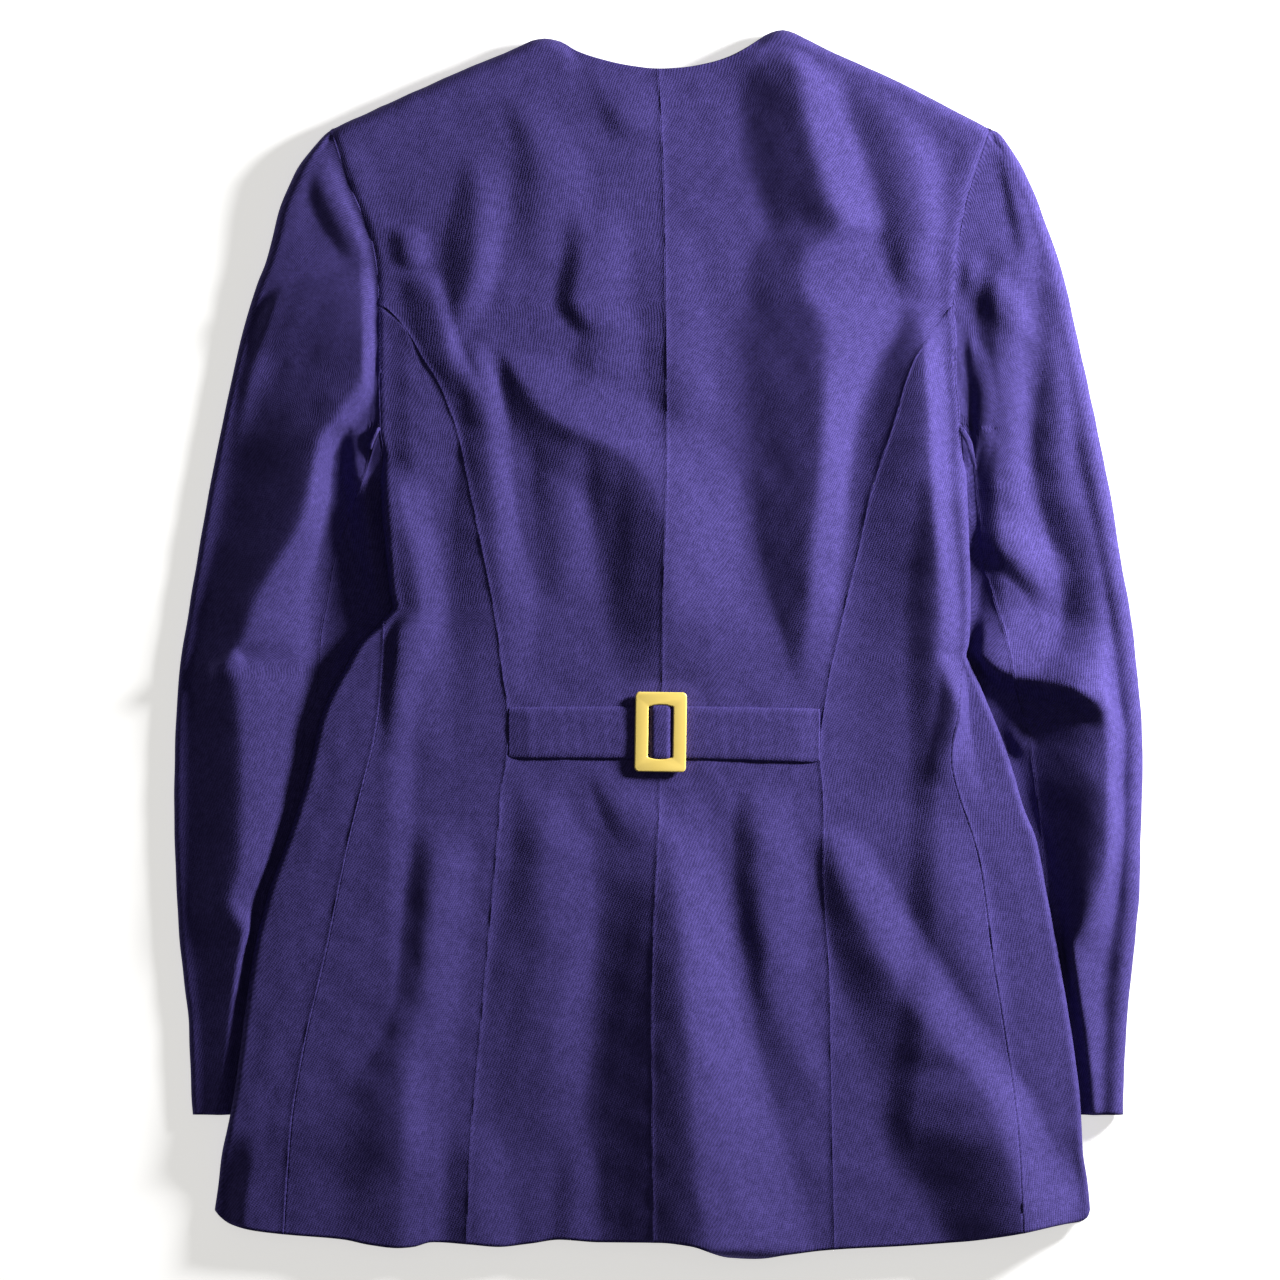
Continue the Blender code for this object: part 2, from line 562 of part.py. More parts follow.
def sleeve_level(first, row):
    """Level of a sleeve's row. The rows fan out from the armhole and then lie level.
    The first ones are close together at the shoulder and wide apart at the underarm."""
    power = mix(0.7, 1.2, ease((first - UNDERARM) / 80))
    fan = mix(first, SLEEVE_LEVELS[0], np.clip(row / SLEEVE_CAP_ROWS, 0, 1) ** power)
    rows = np.arange(len(SLEEVE_LEVELS)) + SLEEVE_CAP_ROWS
    return np.where(row > SLEEVE_CAP_ROWS, np.interp(row, rows, SLEEVE_LEVELS), fan)


def top_sleeve_points(side, u, row):
    """u runs from -1 at the front seam underneath, through 0 at the outer fold, to 1 at
    the back seam. row runs from 0 at the armhole to the cuff."""
    c = np.abs(u)
    layer = np.where(u < 0, -1.0, 1.0)
    above = (layer > 0)[..., None]
    place = ARMHOLE_ROWS * c
    start = np.where(above, armhole_point(side, place, 1.0), armhole_point(side, place, -1.0))
    first = start[..., 1]
    y = sleeve_level(first, row)

    def full(level):
        upper = upper_sleeve_width(side, level)
        return np.where(layer > 0, upper, lower_sleeve_width(side, level))

    def plain(level):
        roll, _, _ = sleeve_columns(side, level)
        quarter = roll * math.pi / 2
        rolled = 2 / ARMHOLE_ROWS
        across = np.clip((c - rolled) / (1 - rolled), 0, 1)
        return np.where(c < rolled, quarter * c / rolled, mix(quarter, full(level), across))

    gone = first - y
    beside = (full(first) - plain(first)) * ease(c * ARMHOLE_ROWS / 2)
    along = plain(y) + beside * (1 - np.clip(gone / 60, 0, 1)) ** 2
    point = sleeve_surface(side, layer * along, y)
    shift = start - sleeve_surface(side, layer * (plain(first) + beside), first)
    return above_floor(point + shift * (1 - ease(gone / 26))[..., None])


def under_sleeve_points(side, u, row):
    """u runs from the back seam round the inner fold to the front seam underneath."""
    dip = 1 - np.abs(2 * u - 1)
    place = ARMHOLE_ROWS + 2 * dip
    back = (u < 0.5)[..., None]
    start = np.where(back, armhole_point(side, place, 1.0), armhole_point(side, place, -1.0))
    start[..., 0] += SIGN[side] * UNDERARM_STEP * dip
    first = start[..., 1]
    y = sleeve_level(first, row)

    def surface(level):
        roll, outer, inner = sleeve_columns(side, level)
        small = np.minimum(SLEEVE_INNER_ROLL(level), roll)
        quarter = roll * math.pi / 2
        turn = small * math.pi / 2
        whole = quarter + turn + outer - roll - inner - small
        body = quarter + outer - roll - BODY_EDGE[side](level)
        fold = [whole + turn * part for part in (-1, -0.5, 0, 0.5, 1)]
        beside = [np.minimum(body - 5.3, fold[0] - 2.4), np.minimum(body - 1.8, fold[0] - 1.2)]
        lines = dict(enumerate([*beside, *fold], 1))
        begin = upper_sleeve_width(side, level)
        end = np.maximum(2 * whole - lower_sleeve_width(side, level), whole + 1)
        return sleeve_surface(side, spread(u, 9, begin, lines, end), level)

    left = 1 - ease((first - y) / 26)
    return above_floor(surface(y) + (start - surface(first)) * left[..., None])


def inset(points, gaps):
    """Moves the borders of a grid of points in along the cloth, square to each border.

    gaps: first and last column, first and last row.
    """
    points = points.copy()
    for gap, border, inner in (
        (gaps[0], points[:, 0], points[:, 1]),
        (gaps[1], points[:, -1], points[:, -2]),
        (gaps[2], points[0], points[1]),
        (gaps[3], points[-1], points[-2]),
    ):
        run = np.gradient(border, axis=0)
        run /= np.linalg.norm(run, axis=-1, keepdims=True)
        way = inner - border
        way -= run * (way * run).sum(-1, keepdims=True)
        reach = np.linalg.norm(way, axis=-1, keepdims=True)
        border += way / reach * np.minimum(np.reshape(gap, (-1, 1)) / 2, 0.75 * reach)
    return points


def material(name, colour, roughness, metallic):
    made = bpy.data.materials.new(name)
    made.use_nodes = True
    shader = made.node_tree.nodes["Principled BSDF"]
    shader.inputs["Base Color"].default_value = colour
    shader.inputs["Roughness"].default_value = roughness
    shader.inputs["Metallic"].default_value = metallic
    return made


def add_object(name, mesh, collection, surface):
    mesh.materials.append(surface)
    made = bpy.data.objects.new(name, mesh)
    collection.objects.link(made)
    return made


def cloth_panel(name, points, collection, thickness=CLOTH):
    """A panel: a grid laid over rows of points, then thickened."""
    rows, columns = points.shape[:2]
    mesh = bpy.data.meshes.new(name)
    form = bmesh.new()
    bmesh.ops.create_grid(form, x_segments=columns - 1, y_segments=rows - 1, size=1)
    for vertex in form.verts:
        column = round((vertex.co.x + 1) / 2 * (columns - 1))
        row = round((vertex.co.y + 1) / 2 * (rows - 1))
        vertex.co = points[row, column] * MM
    bmesh.ops.recalc_face_normals(form, faces=form.faces)
    form.to_mesh(mesh)
    form.free()
    panel = add_object(name, mesh, collection, material(name, CLOTH_COLOUR, 0.75, 0))
    wall = panel.modifiers.new("wall", "SOLIDIFY")
    wall.thickness = thickness * MM
    wall.offset = 0
    return panel


def body_panel(name, side, columns, count, rows, gaps, collection):
    u, row = np.meshgrid(np.linspace(0, 1, count + 1), rows)
    if columns is side_back_columns:
        row = side_back_row(u, row)
    points = body_points(side, columns, u, row, columns is front_columns)
    cloth_panel(name, inset(points, gaps), collection)


def build_body(collection):
    levels = np.array([*([YOKE_LEVEL + 1] * YOKE_ROW), YOKE_LEVEL, *LOWER_LEVELS])
    side_gaps = np.where(levels > WAIST_NOTCH, BENT_SEAM, SEAM)
    side_gaps[levels > ARMHOLE_END] = ARMHOLE_SEAM
    back_gaps = np.where(levels >= YOKE_LEVEL, ARMHOLE_SEAM, SEAM)
    start = YOKE_ROW + 2
    for side in SIGN:
        gaps = (SEAM, back_gaps, BENT_SEAM, 0)
        body_panel(f"back_{side}", side, back_columns, 12, BODY_ROWS, gaps, collection)
        gaps = (SEAM, side_gaps[start:], 2 * SEAM, 0)
        rows = BODY_ROWS[start:]
        body_panel(f"side_back_{side}", side, side_back_columns, 10, rows, gaps, collection)
        gaps = (side_gaps, 2 * SEAM, BENT_SEAM, 0)
        body_panel(f"front_{side}", side, front_columns, 14, BODY_ROWS, gaps, collection)


def build_sleeves(collection):
    rows = np.arange(SLEEVE_CAP_ROWS + len(SLEEVE_LEVELS))
    front_gaps = np.where(rows < SLEEVE_CAP_ROWS + 2, BENT_SEAM, SEAM)
    back_gaps = np.maximum(front_gaps, 2 * SEAM)
    for side in SIGN:
        across = np.arange(-ARMHOLE_ROWS, ARMHOLE_ROWS + 1) / ARMHOLE_ROWS
        points = top_sleeve_points(side, *np.meshgrid(across, rows))
        gaps = (front_gaps, back_gaps, ARMHOLE_SEAM, 0)
        cloth_panel(f"top_sleeve_{side}", inset(points, gaps), collection)
        points = under_sleeve_points(side, *np.meshgrid(np.arange(10) / 9, rows))
        gaps = (back_gaps, front_gaps, BENT_SEAM, 0)
        cloth_panel(f"under_sleeve_{side}", inset(points, gaps), collection)


def back_height(x, y):
    """Level of the back's wall at points of the plan."""
    sides = [
        front_level(side, SIGN[side] * x, y) + 2 * half_thickness(side, SIGN[side] * x, y)
        for side in SIGN
    ]
    return np.where(x < 0, *sides)


def buckle_base():
    """Level of the underside of the buckle's frame."""
    x, y = BUCKLE_CENTRE
    top = back_height(np.array([x]), np.array([y]))[0]
    return top + CLOTH / 2 + BELT_GAP + BELT_THICKNESS + 0.45


def build_belt(collection):
    """The half-belt, which lies on the back, under the buckle's sides and over its bar."""
    x_left, top_left, bottom_left = BELT_ENDS["left"]
    x_right, top_right, bottom_right = BELT_ENDS["right"]
    centre = BUCKLE_CENTRE[0]
    near = np.array([-15.5, -12, -9, -7, -5.4, -3.8, -2.2, 0, 2.2, 3.8, 5.4, 7, 9, 12, 15.5])
    left = np.linspace(x_left, centre - 17, 10)[:-1]
    right = np.linspace(centre + 17, x_right, 10)[1:]
    x, t = np.meshgrid(np.concatenate([left, centre + near, right]), np.linspace(0, 1, 4))
    stations = (x_left, centre - 17, centre + 17, x_right)
    middle_top, middle_bottom = BELT_AT_BUCKLE
    top = np.interp(x, stations, (top_left, middle_top, middle_top, top_right))
    bottom = np.interp(x, stations, (bottom_left, middle_bottom, middle_bottom, bottom_right))
    away = np.abs(x - centre)
    pinch = 0.6 * (1 - ease((away - 8) / 6))
    y = mix(top - pinch, bottom + pinch, t)
    lying = back_height(x, y) + CLOTH / 2 + BELT_GAP + BELT_THICKNESS / 2
    level = buckle_base() - 0.45 - BELT_THICKNESS / 2
    over_bar = level + 0.45 + BUCKLE_BAR[1] + 0.35 + BELT_THICKNESS
    z = mix(level, lying, ease((away - 14) / 12))
    z = mix(z, over_bar, 1 - ease((away - 1.8) / 4.8))
    points = inset(np.stack([x, y, z], -1), (2 * SEAM, 2 * SEAM, 0, 0))
    return cloth_panel("half_belt", points, collection, BELT_THICKNESS)


def rounded_outline(width, height, radius, bulge):
    """Points round a rounded rectangle whose short sides swell by bulge in the middle."""
    points = []
    for quarter in range(4):
        sx, sy = ((1, 1), (-1, 1), (-1, -1), (1, -1))[quarter]
        centre = (sx * (width / 2 - radius), sy * (height / 2 - radius))
        for step in range(5):
            angle = math.radians(90 * quarter + 22.5 * step)
            points.append((centre[0] + radius * math.cos(angle), centre[1] + radius * math.sin(angle)))
        if bulge and quarter % 2 == 0:
            points.append((0, sy * (height / 2 + bulge)))
    return points


def build_buckle(collection):
    width, height, thickness = BUCKLE_SIZE
    curve = bpy.data.curves.new("buckle", "CURVE")
    curve.dimensions = "2D"
    curve.fill_mode = "BOTH"
    curve.extrude = (thickness / 2 - BUCKLE_BEVEL) * MM
    curve.bevel_depth = BUCKLE_BEVEL * MM
    curve.bevel_resolution = 1
    curve.offset = -BUCKLE_BEVEL * MM
    window = rounded_outline(*BUCKLE_WINDOW, 0.8, 1.0)
    for outline in (rounded_outline(width, height, BUCKLE_CORNER, 0), window):
        spline = curve.splines.new("POLY")
        spline.points.add(len(outline) - 1)
        for point, (x, y) in zip(spline.points, outline):
            point.co = (x * MM, y * MM, 0, 1)
        spline.use_cyclic_u = True
    frame = add_object("buckle", curve, collection, material("buckle", GOLD_COLOUR, 0.3, 1))
    base = buckle_base()
    frame.location = (BUCKLE_CENTRE[0] * MM, BUCKLE_CENTRE[1] * MM, (base + thickness / 2) * MM)
    frame.rotation_euler.z = BUCKLE_TURN

    bar_width, bar_thickness = BUCKLE_BAR
    form = bmesh.new()
    bmesh.ops.create_cube(form, size=1)
    bar_length = BUCKLE_WINDOW[1] + 6
    bmesh.ops.scale(form, vec=(bar_width * MM, bar_length * MM, bar_thickness * MM), verts=form.verts)
    lower = (base + 0.3 + bar_thickness / 2) * MM
    mesh = bpy.data.meshes.new("buckle_bar")
    form.to_mesh(mesh)
    form.free()
    bar = add_object("buckle_bar", mesh, collection, frame.data.materials[0])
    bar.location = (frame.location.x, frame.location.y, lower)
    bar.rotation_euler.z = BUCKLE_TURN
    bar.hide_render = True
    bar.hide_viewport = True
    return frame, bar


def join_bar(frame, bar):
    """Makes the frame a mesh and joins the bar to it."""
    bpy.context.view_layer.update()
    graph = bpy.context.evaluated_depsgraph_get()
    mesh = bpy.data.meshes.new_from_object(frame.evaluated_get(graph))
    solid = bpy.data.objects.new("buckle_solid", mesh)
    solid.matrix_world = frame.matrix_world
    frame.users_collection[0].objects.link(solid)
    bpy.data.objects.remove(frame)
    solid.name = "buckle"
    clean = solid.modifiers.new("weld", "WELD")
    clean.merge_threshold = 0.00001
    join = solid.modifiers.new("bar", "BOOLEAN")
    join.operation = "UNION"
    join.solver = "EXACT"
    join.object = bar


def build():
    for item in list(bpy.data.objects):
        bpy.data.objects.remove(item)
    collection = bpy.data.collections.new("collarless jacket")
    bpy.context.scene.collection.children.link(collection)
    build_body(collection)
    build_sleeves(collection)
    build_belt(collection)
    join_bar(*build_buckle(collection))


build()
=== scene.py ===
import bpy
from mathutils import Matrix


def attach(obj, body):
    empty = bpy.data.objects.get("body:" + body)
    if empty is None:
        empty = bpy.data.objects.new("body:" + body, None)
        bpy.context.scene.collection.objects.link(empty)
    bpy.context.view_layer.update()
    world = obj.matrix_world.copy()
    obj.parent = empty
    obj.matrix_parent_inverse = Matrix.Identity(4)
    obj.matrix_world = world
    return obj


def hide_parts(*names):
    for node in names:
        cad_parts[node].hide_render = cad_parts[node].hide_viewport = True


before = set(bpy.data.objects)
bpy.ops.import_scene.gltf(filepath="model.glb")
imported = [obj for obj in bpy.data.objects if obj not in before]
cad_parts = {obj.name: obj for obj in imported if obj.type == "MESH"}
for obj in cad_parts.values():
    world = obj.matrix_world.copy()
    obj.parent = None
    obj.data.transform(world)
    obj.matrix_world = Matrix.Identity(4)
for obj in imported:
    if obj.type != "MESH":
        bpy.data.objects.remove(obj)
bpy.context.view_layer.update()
print("frame loaded")

import math
from collections import namedtuple
import bmesh
import bpy
import numpy as np
from mathutils import Matrix, Vector

mm = 0.001  # every length below is in millimetres until the meshes are made
sign = {"left": -1.0, "right": 1.0}


def ease(t):
    t = np.clip(t, 0, 1)
    return t * t * (3 - 2 * t)


def mix(a, b, t):
    return a + (b - a) * t


def smoothCurve(points):  # through (place, value) pairs, never swinging past them
    place, value = np.array(sorted(points), float).T
    step = np.diff(place)
    rise = np.diff(value) / step
    product = rise[:-1] * rise[1:]
    total = np.where(product > 0, rise[:-1] + rise[1:], 1)
    slope = np.concatenate([rise[:1], np.where(product > 0, 2 * product / total, 0), rise[-1:]])

    def at(where):
        where = np.clip(where, place[0], place[-1])
        i = np.clip(np.searchsorted(place, where, side="right") - 1, 0, len(step) - 1)
        t = (where - place[i]) / step[i]
        near = value[i] * (1 + 2 * t) * (1 - t) ** 2 + slope[i] * step[i] * t * (1 - t) ** 2
        return near + value[i + 1] * t**2 * (3 - 2 * t) + slope[i + 1] * step[i] * t**2 * (t - 1)

    return at


def bothSides(left, right):
    return {"left": smoothCurve(left), "right": smoothCurve(right)}


# The cut's lines as they lie. Along x the value is a level in y, along y a distance out from
# the middle line, and for the back seam x itself.
shoulders = smoothCurve([
    (-195.3, 307.8), (-155, 326.2), (-107, 347.4), (-94, 352.4), (-83, 357.5), (-75.3, 361),
    (-67.5, 362.1), (-60.9, 361), (-50, 355.3), (-35, 350.2), (-17, 346.2), (0, 344.4), (13.5, 345),
    (30, 347.8), (42.5, 351.7), (52, 356.5), (61.5, 362.4), (67, 365.6), (73.8, 367.2), (80.7, 365.7),
    (94, 358.8), (110, 351.3), (142.5, 336.6), (197.7, 308.1),
])
hem = smoothCurve([
    (-265.5, -339), (-262.5, -343.2), (-256, -347.4), (-242.7, -351), (-225, -353.2), (-188, -356.4),
    (-173, -359.4), (-156, -361.2), (-147, -360.6), (-136, -357.9), (-114, -359.1), (-95, -360.6),
    (-77, -358.8), (-59, -356.4), (-35, -357.9), (1, -357.6), (19, -359.4), (31, -363), (43, -366.3),
    (58.5, -367.2), (76, -365.4), (105, -362.4), (145, -360.3), (181, -357.6), (205, -354),
    (241, -347.4), (253, -345.9), (257, -343.2), (258.3, -339),
])
backSeam = smoothCurve([
    (344, -0.3), (266, 3.3), (197, 4.2), (142, 4.9), (83, 4.2), (31, 2.7), (-27, 1.9), (-79, 0.6),
    (-106, -0.3), (-214, -3.9), (-286, -3.6), (-358, -2.7),
])
princess = bothSides([
    (205, 167.1), (195.6, 157), (185.4, 149.1), (170, 140), (156, 131), (141, 125), (122, 119),
    (101, 114.3), (74, 108.9), (50, 104.1), (35, 101.1), (8, 96.3), (-21, 93), (-38, 90.3),
    (-54, 89.9), (-69, 90.9), (-85, 93.9), (-106, 95.5), (-190, 102.9), (-245, 107.7), (-293, 112.1),
    (-359, 114.6),
], [
    (205, 176.1), (195.6, 169.5), (182, 161.1), (170, 153.3), (155, 147.3), (137, 142.5), (121, 137.1),
    (90, 126.9), (55, 119.1), (28, 112.5), (-1, 105.9), (-16, 102.3), (-39, 98.7), (-56, 96.6),
    (-71, 96.3), (-88, 97.8), (-154, 99), (-202, 101.7), (-274, 102.9), (-362, 104.7),
])
bodyEdge = bothSides([
    (307.8, 195.3), (289, 189.3), (268, 181.5), (250, 173.7), (237, 170.1), (220, 167.7), (205, 167.1),
    (158, 167.1), (128, 166.5), (104, 165.6), (82, 164.7), (53, 162.3), (32, 160.2), (21.3, 158.2),
    (17.4, 161.1), (10.8, 167.1), (-2, 179.7), (-16, 187.5), (-32, 196.5), (-49, 202.8), (-73, 207.9),
    (-94, 213.9), (-115, 220.5), (-148, 232.5), (-188, 242.1), (-253, 251.1), (-281, 255.5),
    (-304, 260.5), (-339, 265.3),
], [
    (308.1, 197.7), (298, 194.7), (281, 188.7), (265, 183.9), (247, 180.3), (228, 177.3), (205, 176.1),
    (182, 177.6), (159, 177.6), (144, 179.4), (128, 180.3), (110, 182.7), (96, 183.6), (62, 185.1),
    (26, 186.1), (10, 185.7), (-1, 184.5), (-6, 183.3), (-10.8, 185.4), (-21.6, 190.2), (-39, 197.7),
    (-57, 204.9), (-78, 212.1), (-99, 218.1), (-119, 225.9), (-144, 230.7), (-169, 235.5),
    (-191, 239.7), (-231, 246.3), (-273, 251.7), (-304, 253.5), (-322, 256.5), (-339, 258.3),
])
# Above the waist's notch the side seam lies just past the folded edge.
sideSeam = bothSides([
    (110, 166), (60, 164), (30, 161.3), (21.3, 159.6), (12.6, 164.2), (-6, 165.4), (-28, 166.8),
    (-55, 170.3), (-82, 177), (-124, 187.2), (-184, 199.5), (-241, 212.7), (-286, 220.2),
    (-328, 223.5), (-353, 225),
], [
    (110, 183), (60, 186.3), (27, 187.2), (10, 186.7), (-1, 185.3), (-6, 183.8), (-20, 181),
    (-42, 179.3), (-59, 175.8), (-68, 175.2), (-95, 181.5), (-112, 187.5), (-130, 192.3),
    (-148, 195.3), (-187, 200.1), (-234, 207.9), (-268, 212.7), (-300, 215.7), (-352, 218.5),
])
# Radius of the body's folded edge
bodyRoll = smoothCurve([(308, 7.5), (280, 7), (205, 6), (110, 5.4), (40, 4), (0, 3.4), (-339, 3.1)])
sleeveOuter = bothSides([
    (307.8, 197.2), (304.8, 201.3), (293, 210.3), (280, 218.1), (262, 225.9), (242, 231.3),
    (228, 234.9), (216, 239.7), (193, 246.9), (169, 252.9), (149, 257.1), (123, 262.5), (90, 269.1),
    (62, 273.9), (25, 280.2), (-22, 287.1), (-70, 289.5), (-102, 289.7), (-142, 288.6), (-181, 286.2),
    (-229, 281.1), (-274, 279.3), (-282, 278.7),
], [
    (307.8, 199.4), (306, 204.1), (301, 208.5), (287, 216.3), (271, 224.1), (251, 231.6), (230, 239.1),
    (208, 245.1), (185, 249.9), (159, 255.9), (136, 260.7), (110, 266.1), (82, 271.5), (45, 277.2),
    (10, 283.5), (-19, 286.2), (-46, 288.9), (-71, 289.5), (-107, 288.6), (-144, 287.7), (-175, 285.3),
    (-214, 281.1), (-257, 278.4), (-283, 277.8),
])
sleeveSeam = bothSides([
    (129, 168.3), (120, 171.8), (110, 173.7), (98, 177), (74, 186), (49, 195), (26, 199), (2, 203),
    (-22, 204.3), (-35, 206), (-45, 212), (-66, 214.2), (-86, 216.4), (-106, 222), (-125, 229),
    (-140, 234.3), (-160, 237), (-180, 240), (-282, 240),
], [
    (129, 182.2), (120, 187), (110, 189.1), (98, 190.2), (88, 191), (76, 192.4), (62, 194),
    (49, 195.3), (28, 200.7), (6, 207.3), (-16, 211.8), (-34, 216.3), (-50, 220.5), (-100, 228),
    (-150, 232), (-282, 236),
])
sleeveInner = bothSides([
    (129, 166.8), (120, 167.6), (110, 166), (82, 162.5), (50, 156), (20, 152), (0, 158), (-60, 172),
    (-150, 172), (-282, 163),
], [
    (129, 181.2), (120, 182.6), (110, 181.4), (82, 180.5), (50, 176), (20, 174), (-60, 176),
    (-150, 176), (-282, 162),
])
# Radii of a sleeve's outer and inner fold, and the levels of its lower and upper wall
sleeveRoll = bothSides(
    [(308, 1), (298, 4), (280, 6), (250, 6), (200, 4.5), (150, 3.5), (-282, 3)],
    [(308, 1), (298, 4), (280, 6), (200, 7), (0, 7), (-282, 5)],
)
sleeveInnerRoll = smoothCurve([(132, 0.5), (120, 3.1)])
sleeveFloor = smoothCurve([(308, 6.5), (290, 4), (265, 1.5), (240, 0), (-282, 0)])
sleeveLevel = smoothCurve([
    (308, 14), (250, 13), (205, 12), (150, 10), (129, 9), (100, 7.2), (82, 6.95),
])

